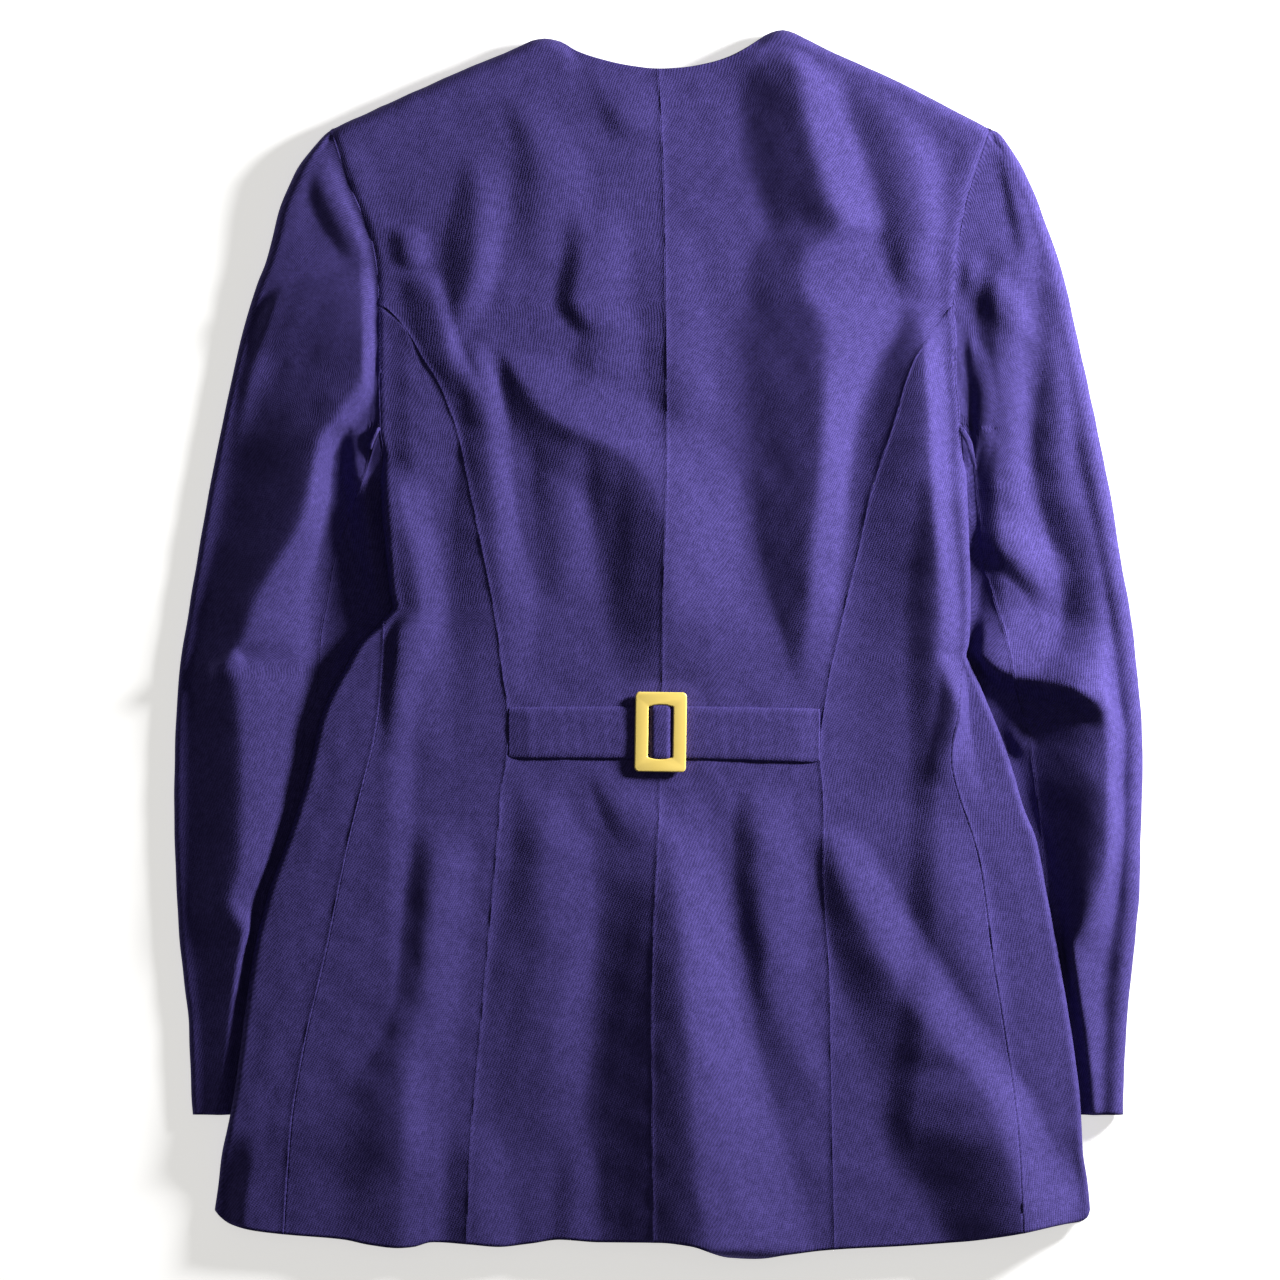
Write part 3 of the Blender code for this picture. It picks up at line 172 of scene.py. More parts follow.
# Folds of the cloth. Each row of a fold is one level: y, the x of its west foot, its crest and
# its east foot, and its height, which is negative in a hollow. Its crest is pressed where crisp
# is near 1, soft where near 0.
Fold = namedtuple("Fold", "name crisp rows")
bodyFolds = [
    Fold("right long fold", 0.95, [
        (350, 38, 83, 115, 9), (326, 46, 86, 114, 12), (290, 47, 94, 127, 12), (266, 56, 102, 133, 12),
        (251, 58, 109, 136, 11), (239, 55, 94, 133, 8.5), (229, 52, 87, 139, 7.5),
        (215, 48, 87, 145, 8.5), (194, 43, 97, 148, 12), (170, 42, 100, 133, 12.5),
        (146, 43, 99, 123, 12.5), (98, 49, 96, 115, 11.5), (50, 56, 91, 112, 9),
        (26, 64, 90, 109, 6.5), (2, 73, 88, 106, 3), (-22, 79, 87, 103, 0),
    ]),
    Fold("right side fold", 0.7, [
        (206, 145, 156, 180, 0), (188, 141, 157, 180, 4), (176, 135, 159, 181, 7),
        (146, 123, 160, 182, 10), (116, 116, 161, 183, 11), (86, 113, 163, 184, 11),
        (56, 112, 167, 185, 10.5), (26, 110, 174, 186, 9.5), (-4, 108, 178, 186, 8),
        (-34, 108, 178, 186, 6), (-64, 109, 175, 190, 4), (-94, 115, 178, 199, 1.5),
        (-112, 121, 181, 205, 0),
    ]),
    Fold("right yoke, outer", 0.2, [
        (338, 100, 130, 156, 0), (320, 106, 139, 162, 3), (302, 112, 144, 166, 4.5),
        (278, 117, 152, 172, 5), (248, 129, 155, 175, 5), (227, 135, 152, 172, 4),
        (206, 142, 154, 172, 0),
    ]),
    Fold("left step", 0.7, [
        (175, -96, -90, -60, 0), (164, -95, -85, -40, 3), (154, -95, -78, -20, 5),
        (137, -93, -64, 14, 7), (125, -89, -44, 34, 8), (116, -83, -25, 42, 8.8),
        (104, -70, -11, 48, 9.3), (89, -52, -2, 52, 10), (68, -42, 4, 54, 11), (44, -38, 6, 56, 10.5),
        (20, -35, 5, 62, 9), (-1, -32, 2, 65, 5), (-22, -30, -2, 62, 0),
    ]),
    Fold("left princess fold", 0.8, [
        (182, -122, -111, -102, 0), (167, -122, -108, -98, 3), (146, -120, -103, -91, 3.5),
        (122, -121, -102, -88, 4), (98, -124, -100, -86, 4.5), (74, -127, -99, -82, 4.5),
        (50, -127, -97, -76, 4.5), (26, -127, -94, -71, 3.5), (2, -125, -91, -71, 2),
        (-22, -122, -90, -71, 1), (-46, -120, -89, -71, 0),
    ]),
    Fold("left side fold", 0.4, [
        (146, -164, -157, -131, 0), (104, -162, -155, -129, 1), (50, -160, -154, -127, 3),
        (2, -161, -154, -124, 4), (-34, -167, -155, -122, 3), (-70, -167, -156, -122, 0),
    ]),
    Fold("left shoulder blade", 0.8, [
        (296, -122, -106, -92, 0), (278, -122, -108, -89, 2), (260, -127, -108, -88, 4),
        (239, -131, -109, -92, 5), (218, -131, -112, -95, 5.3), (203, -131, -117, -101, 4),
        (188, -131, -121, -110, 1), (179, -131, -123, -113, 0),
    ]),
    Fold("left yoke", 0.4, [
        (338, -98, -88, -68, 0), (320, -95, -83, -59, 1.3), (305, -89, -76, -50, 2.2),
        (290, -88, -69, -41, 2.9), (269, -90, -69, -35, 3), (248, -88, -72, -41, 1.8),
        (224, -88, -77, -48, 0),
    ]),
    Fold("left of the back seam", 0.4, [
        (266, -56, -41, -8, 0), (245, -58, -42, -8, 2.5), (230, -59, -43, -8, 4),
        (206, -62, -47, -10, 4), (194, -56, -41, -8, 3.5), (184, -50, -34, -4, 2.5),
        (164, -53, -35, -11, 2), (146, -54, -36, -12, 0),
    ]),
    Fold("left middle fold", 0.3, [
        (122, -77, -61, -41, 0), (104, -77, -61, -40, 2.5), (74, -76, -58, -37, 2.5),
        (50, -75, -57, -35, 2), (20, -75, -57, -35, 0),
    ]),
    Fold("beside the back seam", 0.3, [
        (254, -20, 3, 25, 0), (230, -19, 4, 28, 1.5), (176, -12, 9, 35, 2.5), (149, -8, 15, 38, 3),
        (128, -5, 14, 38, 1.5), (110, -5, 14, 38, 0),
    ]),
    Fold("left armhole drag", 0.7, [
        (224, -158, -144, -131, 0), (212, -156, -137, -126, 3), (194, -152, -131, -123, 4),
        (176, -146, -126, -117, 4), (158, -138, -119, -106, 3.5), (146, -132, -113, -98, 2),
        (130, -126, -108, -92, 0),
    ]),
    Fold("left armhole spot", 0.3, [
        (251, -164, -153, -140, 0), (242, -165, -151, -137, 3), (232, -162, -149, -136, 3),
        (223, -160, -148, -135, 0),
    ]),
    Fold("left neck", 0.2, [
        (342, -46, -34, -6, 0), (326, -42, -26, 4, 2), (314, -38, -19, 10, 2.6),
        (298, -34, -10, 16, 0),
    ]),
    Fold("left skirt fold", 0.7, [
        (-103, -146, -130, -110, 0), (-121, -150, -133, -107, 3), (-142, -153, -135, -107, 5.5),
        (-172, -156, -138, -109, 6), (-202, -158, -141, -113, 6), (-232, -165, -145, -116, 5.5),
        (-250, -179, -150, -118, 5.5), (-268, -191, -153, -120, 5.5), (-298, -194, -154, -124, 5.5),
        (-328, -195, -155, -126, 5), (-361, -197, -155, -128, 4),
    ]),
    Fold("left skirt, inner", 0.4, [
        (-88, -86, -72, -53, 0), (-103, -89, -70, -47, 2.5), (-124, -90, -69, -38, 4),
        (-154, -95, -69, -35, 4), (-184, -102, -67, -34, 3.5), (-214, -105, -66, -35, 3.5),
        (-250, -107, -65, -38, 3), (-280, -108, -66, -41, 1.5), (-304, -108, -66, -42, 0),
    ]),
    Fold("middle skirt fold", 0.6, [
        (-88, -41, -20, 25, 0), (-106, -40, -2, 34, 3), (-124, -40, 6, 40, 6),
        (-154, -39, 11, 44, 11.5), (-184, -41, 13, 48, 15), (-214, -43, 15, 54, 17),
        (-244, -45, 17, 62, 18), (-274, -47, 19, 72, 18), (-304, -48, 21, 82, 18),
        (-334, -48, 24, 90, 17), (-361, -47, 28, 98, 15.5),
    ]),
    Fold("right skirt fold", 0.5, [
        (-85, 46, 58, 82, 0), (-103, 44, 60, 85, 3), (-124, 43, 61, 90, 4.5), (-154, 46, 63, 92, 5),
        (-184, 50, 66, 94, 4.5), (-205, 54, 67, 94, 3), (-232, 58, 76, 97, 2),
        (-262, 64, 88, 103, 1.5), (-286, 70, 94, 108, 0),
    ]),
    Fold("right skirt diagonal", 0.55, [
        (-109, 92, 103, 117, 0), (-124, 92, 107, 130, 3.5), (-145, 94, 114, 143, 6),
        (-169, 98, 125, 158, 7), (-193, 103, 137, 174, 8), (-217, 109, 152, 190, 8),
        (-238, 114, 168, 205, 8), (-251, 118, 180, 212, 8), (-274, 124, 197, 228, 11.5),
        (-304, 138, 207, 240, 14), (-334, 156, 216, 247, 15), (-358, 168, 220, 249, 14.5),
    ]),
    Fold("right waist swell", 0.2, [
        (-96, 128, 160, 190, 0), (-124, 132, 166, 196, 2.2), (-154, 144, 175, 202, 3),
        (-184, 158, 184, 208, 3), (-214, 176, 196, 214, 2), (-236, 184, 200, 216, 0),
    ]),
    Fold("hem fold by the middle", 0.3, [
        (-292, -62, -50, -38, 0), (-316, -64, -48, -34, 1.4), (-361, -66, -48, -32, 1.8),
    ]),
    Fold("hem fold by the left seam", 0.4, [
        (-286, -128, -113, -95, 0), (-316, -129, -110, -86, 2.5), (-358, -130, -108, -83, 3),
    ]),
    Fold("right waist edge", 0.8, [
        (2, 172, 184, 190, 0), (-14, 168, 182, 188, 2.5), (-42, 165, 178, 185, 3.5),
        (-66, 160, 173, 181, 2.5), (-86, 156, 168, 178, 0),
    ]),
    Fold("under the buckle", 0.6, [
        (-74, -40, -30, 8, 0), (-84, -42, -31, 4, 1.4), (-96, -39, -26, 4, 1.8),
        (-108, -33, -19, 10, 1.4), (-122, -24, -10, 18, 0),
    ]),
]
crestRadius = 3.0  # how far a crest is rounded
leastFlank = 3.0
footShare = 0.25  # the part of a flank that bends out of the plain cloth
foldFade = 12.0  # a fold fades over this stretch past its first and last row


def flank(away, width, crisp):  # 1 at the crest, 0 at the foot, level where it meets the foot
    reach = np.hypot(np.maximum(width, leastFlank), crestRadius) - crestRadius
    t = np.clip(1 - (np.hypot(away, crestRadius) - crestRadius) / reach, 0, 1)
    plane = np.where(t < footShare, t * t / (2 * footShare), t - footShare / 2)
    return mix(ease(t), plane / (1 - footShare / 2), crisp)


def foldRelief(folds, x, y):
    x, y = np.broadcast_arrays(np.asarray(x, float), y)
    total = np.zeros(x.shape)
    for fold in folds:
        level, *columns = zip(*fold.rows)
        west, crest, east, height = [smoothCurve(zip(level, column))(y) for column in columns]
        beyond = np.maximum(y - max(level), min(level) - y)
        height = height * (1 - ease(beyond / foldFade))
        width = np.where(x < crest, crest - west, east - crest)
        total += height * flank(np.abs(x - crest), width, fold.crisp)
    return total


sleeveFolds = {
    "left": [
        Fold("cap crease", 0.5, [
            (293, -213, -204, -188, 0), (281, -213, -202, -185, 2.5), (266, -210, -196, -179, 3.5),
            (251, -204, -188, -173, 3.5), (239, -196, -182, -169, 2.5), (226, -190, -177, -167, 0),
        ]),
        Fold("long crest", 0.85, [
            (222, -226, -176, -162, 0), (210, -228, -176, -162, 4), (198, -231, -175, -162, 7),
            (170, -236, -175, -163, 10.5), (155, -242, -179, -167, 12.5), (146, -247, -185, -172, 14),
            (134, -254, -194, -180, 15), (122, -259, -203, -190, 15.5), (98, -264, -208, -197, 16),
            (74, -269, -214, -196, 16), (50, -273, -227, -203, 15), (26, -277, -241, -206, 13),
            (2, -281, -248, -205, 12), (-10, -283, -257, -204, 10), (-24, -285, -252, -204, 11.5),
            (-70, -286, -249, -206, 11.5), (-130, -286, -250, -220, 11.5),
            (-154, -285, -256, -230, 10), (-181, -282, -243, -234, 11), (-230, -278, -240, -233, 10),
            (-282, -276, -246, -236, 8),
        ]),
        Fold("underarm lobe", 0.5, [
            (112, -190, -179, -168, 0), (96, -189, -177, -164, 2), (74, -188, -173, -162, 3.5),
            (44, -179, -168, -159, 3.5), (20, -170, -163, -158, 0),
        ]),
        Fold("underarm hollow", 0.0, [
            (134, -200, -192, -182, 0), (110, -204, -192, -180, -4), (50, -214, -188, -162, -4),
            (10, -222, -192, -158, -4), (-20, -218, -198, -166, -3), (-50, -212, -202, -176, 0),
        ]),
    ],
    "right": [
        Fold("cap crease", 0.4, [
            (296, 204, 208, 212, 0), (281, 205, 213, 219, 3), (263, 207, 220, 226, 4.5),
            (245, 210, 225, 235, 3.5), (227, 212, 226, 239, 0),
        ]),
        Fold("long swell", 0.0, [
            (250, 196, 216, 240, 0), (200, 190, 206, 236, 5), (120, 188, 206, 226, 6),
            (40, 190, 210, 240, 6), (-10, 190, 215, 248, 0),
        ]),
        Fold("outer fold", 0.4, [
            (206, 217, 240, 250, 0), (182, 218, 242, 252, 4), (146, 218, 242, 256, 6),
            (116, 218, 240, 259, 6.5), (92, 220, 246, 264, 6), (62, 232, 256, 268, 6),
            (26, 240, 262, 272, 7), (2, 236, 264, 276, 9), (-22, 215, 262, 278, 13),
            (-34, 207, 264, 279, 19), (-58, 210, 271, 283, 21), (-82, 213, 267, 282, 21),
            (-106, 221, 270, 282, 20), (-136, 231, 264, 280, 18), (-166, 238, 256, 278, 15),
            (-190, 240, 246, 276, 11), (-214, 241, 248, 274, 8), (-235, 244, 255, 273, 7),
            (-250, 244, 253, 273, 7), (-277, 248, 255, 271, 6),
        ]),
    ],
}

# Each slanting crease of a sleeve is a soft ridge along a line. Its flanks run west and east
# of it.
Crease = namedtuple("Crease", "name height west east crisp line")
sleeveCreases = {
    "left": [
        Crease("cap drag", 4, 30, 16, 0.2,
               [(-150, 226), (-182, 214), (-200, 207), (-222, 200), (-256, 190)]),
        Crease("elbow branch", 5, 7, 7, 0.4, [(-248, -6), (-258, -12), (-270, -18)]),
    ],
    "right": [
        Crease("cap drag", 2, 14, 14, 0.2, [(166, 226), (188, 219), (201, 210), (211, 196), (216, 172)]),
        Crease("underarm edge", 3, 7, 10, 0.5,
               [(184, 196), (190, 170), (193, 146), (193, 131), (190, 116), (185, 96)]),
        Crease("elbow drag", 5, 14, 22, 0.5, [(186, 74), (198, 64), (212, 54), (226, 41), (240, 20)]),
        Crease("elbow lip", 13, 13, 42, 0.6,
               [(176, 16), (186, 2), (196, -8), (208, -16), (226, -21), (246, -25), (262, -34),
                (274, -50)]),
        Crease("forearm bump", 3.5, 8, 10, 0.3, [(204, -48), (215, -58), (222, -68)]),
    ],
}


creaseEast = (0.8, 0.6)  # a crease's east flank is the one towards here
creaseEdge = (0.35, 0.1)  # how rounded its crest is, soft and pressed
creasePower = 1.6  # how steeply a pressed flank falls
creaseTaper = 0.3  # the share of its length over which it fades at each end


def creaseLine(points, steps=5):  # a smooth curve through the crease's own points
    points = np.array(points, float)
    ends = [2 * points[0] - points[1], *points, 2 * points[-1] - points[-2]]
    t = np.linspace(0, 1, steps, endpoint=False)[:, None]
    runs = [
        b + 0.5 * t * (c - a + t * (2 * a - 5 * b + 4 * c - d + t * (3 * (b - c) + d - a)))
        for a, b, c, d in zip(ends, ends[1:], ends[2:], ends[3:])
    ]
    return np.vstack([*runs, points[-1:]])


def creaseHeight(crease, x, y):
    line = creaseLine(crease.line)
    widest = max(crease.west, crease.east)
    low, high = line.min(0) - widest, line.max(0) + widest
    near = (x > low[0]) & (x < high[0]) & (y > low[1]) & (y < high[1])
    height = np.zeros(x.shape)
    if not near.any():
        return height
    x, y = x[near], y[near]
    length = np.concatenate([[0], np.cumsum(np.hypot(*np.diff(line, axis=0).T))])
    nearest = np.full(x.shape, 1e9)
    along = np.zeros(x.shape)
    side = np.zeros(x.shape)
    for a, b, start in zip(line, line[1:], length):
        run = b - a
        size = np.hypot(*run)
        across = np.array([run[1], -run[0]]) / size
        across = across if across @ creaseEast > 0 else -across
        t = np.clip(((x - a[0]) * run[0] + (y - a[1]) * run[1]) / size**2, 0, 1)
        dx, dy = x - a[0] - t * run[0], y - a[1] - t * run[1]
        reach = np.hypot(dx, dy)
        closer = reach < nearest
        nearest = np.where(closer, reach, nearest)
        along = np.where(closer, start + t * size, along)
        side = np.where(closer, dx * across[0] + dy * across[1], side)
    width = np.where(side < 0, crease.west, crease.east)
    edge = mix(*creaseEdge, crease.crisp)
    far = math.hypot(1, edge)
    g = np.clip((far - np.hypot(nearest / width, edge)) / (far - edge), 0, 1)
    profile = mix(g * g * (3 - 2 * g), g**creasePower, crease.crisp)
    taper = creaseTaper * length[-1]
    ends = ease(along / taper) * ease((length[-1] - along) / taper)
    height[near] = crease.height * profile * ends
    return height


def relief(creases, x, y):
    x, y = np.broadcast_arrays(x, y)
    return sum(creaseHeight(crease, x, y) for crease in creases)


# The body is a flattened tube. Distances "along" start at the middle line and follow the
# cloth round the side fold to the front edge underneath.
body = {
    "floorLevel": 0.75,  # middle of the wall that rests on the surface
    "backLevel": 13.5,  # middle of the back's wall in plain stretches
    "edgeBlend": 16.0,  # stretch over which the back comes down to a folded edge
    "yokeLevel": 203.0,  # where the princess seams leave the armholes
    "armholeEnd": 129.0,
    "underarm": 110.0,
    "princessTurn": 182.0,  # from here the side-back's first row climbs to the yoke level
    "sideBackClimb": (0.6, 194.0),  # share of its width and level that it climbs through
    "sideBackFull": 160.0,  # level at which the side-back's rows lie level
    "armholeTurn": math.radians(35),
    "shoulderRoll": 7.0,
    "sleeveLift": 9.0,  # height of the front's wall where a sleeve lies under it
    "liftTop": (2.0, 30.0),  # it starts this far over the underarm, and is full this far lower
    "liftFoot": (45.0, 40.0),  # it ends this far below the cuffs, over this stretch
    "liftInner": (28.0, 20.0),  # it starts this far inside the sleeve's inner fold
    "liftYield": 0.65,  # the share of it that the body's thickness loses
    "neckBlend": (4.0, 20.0),  # from the neck inwards the back keeps its full thickness
    "neckTurn": math.radians(20),  # how far the cloth turns under at the neck
    "neckTurnBlend": (28.0, 26.0),  # it turns further from here inside the neck's end, over this
    "neckColumn": 0.36,  # the share of the back's width that lies inside its neck column
    "neckColumnTop": (260.0, 50.0),  # over this level it moves to the neck's end, in this stretch
    "foldColumn": 0.93,  # the share that lies inside the side fold
    "frontNeckDrop": 85.0,
    "frontNeckCurve": 1.3,
    "frontNeckTurn": 8.0,  # beside the neck the front's top turns over in this stretch
    "halfNeck": {"left": 67.5, "right": 73.8},
    "lowest": -350.0,
}
armholeDrop = body["armholeEnd"] - body["underarm"]
cuffLevel = -282.0


def frontLift(side, out, y):
    top, foot, inner = body["liftTop"], body["liftFoot"], body["liftInner"]
    along = ease((body["underarm"] + top[0] - y) / top[1]) * ease((y - cuffLevel + foot[0]) / foot[1])
    return body["sleeveLift"] * along * ease((out - sleeveInner[side](y) + inner[0]) / inner[1])


def frontLevel(side, out, y):
    return body["floorLevel"] + frontLift(side, out, y)


def foldEdge(side, y):  # the body's outermost line, just past the armhole seam
    past = bodyRoll(y) * (1 - math.sin(body["armholeTurn"]))
    return bodyEdge[side](y) + past * ease((y - body["underarm"]) / armholeDrop)


def halfThickness(side, out, y):
    x = sign[side] * out
    lift = body["liftYield"] * frontLift(side, out, y)
    roll = bodyRoll(y)
    height = body["backLevel"] - body["floorLevel"] - lift + foldRelief(bodyFolds, x, y)
    inner = ease((foldEdge(side, y) - roll - out) / body["edgeBlend"])
    above = ease((shoulders(x) - body["shoulderRoll"] - y) / body["edgeBlend"])
    neck = ease((body["halfNeck"][side] - body["neckBlend"][0] - out) / body["neckBlend"][1])
    edge = mix(roll, body["shoulderRoll"], 1 - above)
    return mix(edge, height / 2, inner * mix(above, 1, neck))


def shoulderTurn(side, out):
    start, reach = body["neckTurnBlend"]
    return mix(body["neckTurn"], math.pi / 2, ease((out - body["halfNeck"][side] + start) / reach))


def frontTop(side, out):
    half = body["halfNeck"][side]
    drop = body["frontNeckDrop"] * (1 - np.clip(out / half, 0, 1) ** body["frontNeckCurve"])
    return shoulders(sign[side] * np.maximum(out, half)) - drop


def spread(u, lines, closest=0.4):  # lines are (share of the width, distance) pairs
    shares = [share for share, _ in lines]
    values = [lines[0][1]]
    for _, distance in lines[1:-1]:
        values.append(np.clip(distance, values[-1] + closest, lines[-1][1] - closest))
    values.append(lines[-1][1])
    result = values[0] + 0 * u
    for low, high, a, b in zip(shares, shares[1:], values, values[1:]):
        t = np.clip((u - low) / (high - low), 0, 1)
        result = np.where(u >= low, mix(a, b, t), result)
    return result


def foldColumns(side, y):
    roll = bodyRoll(y)
    outermost = foldEdge(side, y) - roll + roll * math.pi / 2
    return outermost, [outermost + roll * math.radians(turn) for turn in (-90, -45, 0, 45, 90)]


def alongCloth(side, out, y):
    roll = bodyRoll(y)
    edge = foldEdge(side, y)
    bend = np.arcsin(np.clip((out - edge + roll) / roll, 0, 1))
    seen = np.where(out < edge - roll, out, edge - roll + roll * bend)
    return np.where(out > edge, edge - roll + roll * math.pi / 2 + out - edge, seen)


def sideBoundary(side, y, layer):  # layer is 1 for the side-back's edge, -1 for the front's
    outermost, _ = foldColumns(side, y)
    armhole = outermost - layer * bodyRoll(y) * (math.pi / 2 - body["armholeTurn"])
    seam = alongCloth(side, sideSeam[side](y), y)
    below = np.clip((body["armholeEnd"] - y) / armholeDrop, 0, 1)
    return mix(seam, armhole, np.sqrt(1 - below**2))


def princessLine(side, y):
    return np.minimum(alongCloth(side, princess[side](y), y), sideBoundary(side, y, 1))


def backColumns(side, u, y):
    middle = sign[side] * backSeam(y)
    yoke = y > body["yokeLevel"] - 1
    outer = np.where(yoke, sideBoundary(side, y, 1), princessLine(side, y))
    share = body["neckColumn"]
    level, reach = body["neckColumnTop"]
    neck = mix(share * outer, body["halfNeck"][side], ease((y - level) / reach))
    roll = foldEdge(side, y) - bodyRoll(y)
    return spread(u, [(0, middle), (share, neck), (body["foldColumn"], roll), (1, outer)])


def sideBackColumns(side, u, y):
    _, lines = foldColumns(side, y)
    shares = (0.72, 0.78, 0.84, 0.9, 0.96)
    inner, outer = princessLine(side, y), sideBoundary(side, y, 1)
    return spread(u, [(0, inner), *zip(shares, lines), (1, outer)])


def frontColumns(side, u, y):
    _, lines = foldColumns(side, y)
    roll = bodyRoll(y)
    centre = 2 * (foldEdge(side, y) - roll) + math.pi * roll
    lifted = centre - sleeveInner[side](y)
    shares = (0.36, 0.4, 0.44, 0.48, 0.52)
    inner = [(0.58, lifted + 8), (0.7, lifted + 28), (0.8, centre - body["halfNeck"][side])]
    return spread(u, [(0, sideBoundary(side, y, -1)), *zip(shares, lines), *inner, (1, centre)])


def bodyPlace(side, along, y):
    roll = bodyRoll(y)
    flat = foldEdge(side, y) - roll
    bend = np.clip((along - flat) / roll, 0, math.pi)
    past = np.maximum(along - flat - math.pi * roll, 0)
    return np.minimum(along, flat) + roll * np.sin(bend) - past, np.cos(bend)


def bodyHeight(side, out, y, sunk):
    return frontLevel(side, out, y) + halfThickness(side, out, y) * (1 + sunk)


# row is -1 at a panel's top edge, 0 past the shoulder's roll, 1 at the yoke level, 2 at the hem
def bodyPoints(side, columns, u, row, front=False):
    yoke, turnRoll = body["yokeLevel"], body["shoulderRoll"]
    y = np.where(row > 1, mix(yoke, body["lowest"], row - 1), yoke + 50 * (1 - row))
    out = 100.0 + 0 * u
    for _ in range(8):  # each round brings the rows closer to their own level
        out, turn = bodyPlace(side, columns(side, u, y), y)
        x = sign[side] * out
        most = shoulderTurn(side, out)
        top = shoulders(x)
        if front:
            reach = body["frontNeckTurn"]
            most = math.pi / 2 * ease((out - body["halfNeck"][side] + reach) / reach)
            top = frontTop(side, out)
        past = np.clip(-row, 0, 1)
        bend = most * past
        folded = most / (math.pi / 2)
        flatTop = top - turnRoll * mix(2, np.sin(most), folded)
        rolled = turnRoll * mix(2 * past, np.sin(bend), folded)
        upper = mix(flatTop, yoke, np.clip(row, 0, 1)) + rolled
        y = mix(upper, hem(x), np.clip(row - 1, 0, 1))
    sunk = np.where(turn < 0, -np.abs(turn * np.cos(bend)), turn * np.cos(bend))
    return np.stack([x, y, bodyHeight(side, out, y, sunk)], -1)


def sideBackPoints(side, u, t):  # t runs from the climb along the princess seam to the hem
    share, level = body["sideBackClimb"]
    top = np.interp(u, (0, share, 1), (body["princessTurn"], level, body["yokeLevel"]))
    full = body["sideBackFull"]
    y = np.where(t < 1, mix(top, full, t), full)
    fan = np.clip(t, 1e-6, 1) ** (1 - u)
    out = 100.0 + 0 * u
    for _ in range(6):
        inner = princessLine(side, y)
        along = mix(inner, sideBackColumns(side, u, y), fan)
        out, turn = bodyPlace(side, along, y)
        low = mix(full, hem(sign[side] * out), np.clip(t - 1, 0, 1))
        y = np.where(t < 1, y, low)
    return np.stack([sign[side] * out, y, bodyHeight(side, out, y, turn)], -1)


# Each sleeve is a flattened tube. Distances start at its outer fold, run over the upper
# wall, round the inner fold and back under the lower wall.
sleeve = {
    "armholeRows": 13.0,  # places along the armhole, from the shoulder to its straight end
    "rollRows": 2.0,  # the places that lie on the shoulder's roll
    "armholeLevels": (203, 194, 182, 165, 147, 129, 118, 110),  # of places 8 to 15
    "levels": (92.0, cuffLevel),  # between them the rows lie level
    "underarmStep": 2.6,
    "blend": 26.0,  # stretch over which a sleeve leaves the armhole's own form
    "capBlend": 60.0,  # stretch over which its columns leave the armhole's own places
    "fanPower": (0.7, 1.2, 80.0),  # at the underarm, higher up, and the stretch between
    "innerInset": 24.0,  # how far the front seam lies from the inner fold underneath
    "insetTop": 50.0,  # it shrinks to nothing over this stretch below the armhole
    "overlap": 0.6,  # how far it reaches under the armhole's edge
    "rollShare": 0.45,  # the most of its width that its outer roll takes
    "outerBlend": 2.4,  # rolls over which its height grows from the outer fold
    "leastHalf": 1.2,  # half of its least thickness
    "creaseClear": (2.2, 8.0),  # creases start this far from the armhole, and grow over this
}


def sleeveColumns(side, y):
    outer = sleeveOuter[side](y)
    armhole = bodyEdge[side](y)
    inner = np.where(y > body["armholeEnd"], armhole - sleeve["overlap"], sleeveInner[side](y))
    return np.minimum(sleeveRoll[side](y), sleeve["rollShare"] * (outer - inner)), outer, inner


def sleeveSurface(side, along, y):
    roll, outer, inner = sleeveColumns(side, y)
    small = np.minimum(sleeveInnerRoll(y), roll)
    flat = outer - roll - inner - small
    whole = math.pi / 2 * (roll + small) + flat
    lower = (along < 0) | (along > whole)
    s = np.abs(np.where(along > whole, 2 * whole - along, along))
    bend = np.clip(s / roll, 0, math.pi / 2)
    innerBend = np.clip((s - roll * math.pi / 2 - flat) / small, 0, math.pi / 2)
    run = np.clip(s - roll * math.pi / 2, 0, flat)
    out = outer - roll * (1 - np.sin(math.pi / 2 - bend)) - run - small * np.sin(innerBend)
    start, reach = sleeve["creaseClear"]
    clear = ease((out - bodyEdge[side](y) - start) / reach)
    x = sign[side] * out
    creases = relief(sleeveCreases[side], x, y) + foldRelief(sleeveFolds[side], x, y)
    height = sleeveLevel(y) - body["floorLevel"] - sleeveFloor(y) + clear * creases
    fromOuter = ease((outer - roll - out) / (sleeve["outerBlend"] * roll))
    half = mix(roll, np.maximum(height / 2, sleeve["leastHalf"]), fromOuter)
    half = mix(half, small, ease(innerBend))
    turn = np.sin(bend) * np.cos(innerBend)
    z = body["floorLevel"] + sleeveFloor(y) + half * (1 + np.where(lower, -turn, turn))
    return np.stack([x, y, z], -1)


def upperSleeveWidth(side, y):
    roll, outer, _ = sleeveColumns(side, y)
    seam = np.where(y > body["armholeEnd"], bodyEdge[side](y), sleeveSeam[side](y))
    return roll * math.pi / 2 + outer - roll - seam


def lowerSleeveWidth(side, y):
    roll, outer, inner = sleeveColumns(side, y)
    end = body["armholeEnd"]
    reach = sleeve["insetTop"]
    inset = sleeve["innerInset"] * (1 - np.clip((y - end + reach) / reach, 0, 1) ** 2)
    return roll * math.pi / 2 + outer - roll - inner - np.where(y > end, 0, inset)


def armholePoint(side, place, layer):  # 0 at the shoulder, 13 at the straight end, 15 below
    yoke, span = body["yokeLevel"], body["yokeLevel"] - body["lowest"]
    below = [1 + (yoke - level) / span for level in sleeve["armholeLevels"]]
    row = np.interp(place, [0, 1, 2, *range(8, 16)], [-1, -0.5, 0, *below])

    def edge(side, _, y):
        return sideBoundary(side, y, layer)

    return bodyPoints(side, edge, 0 * row, row)


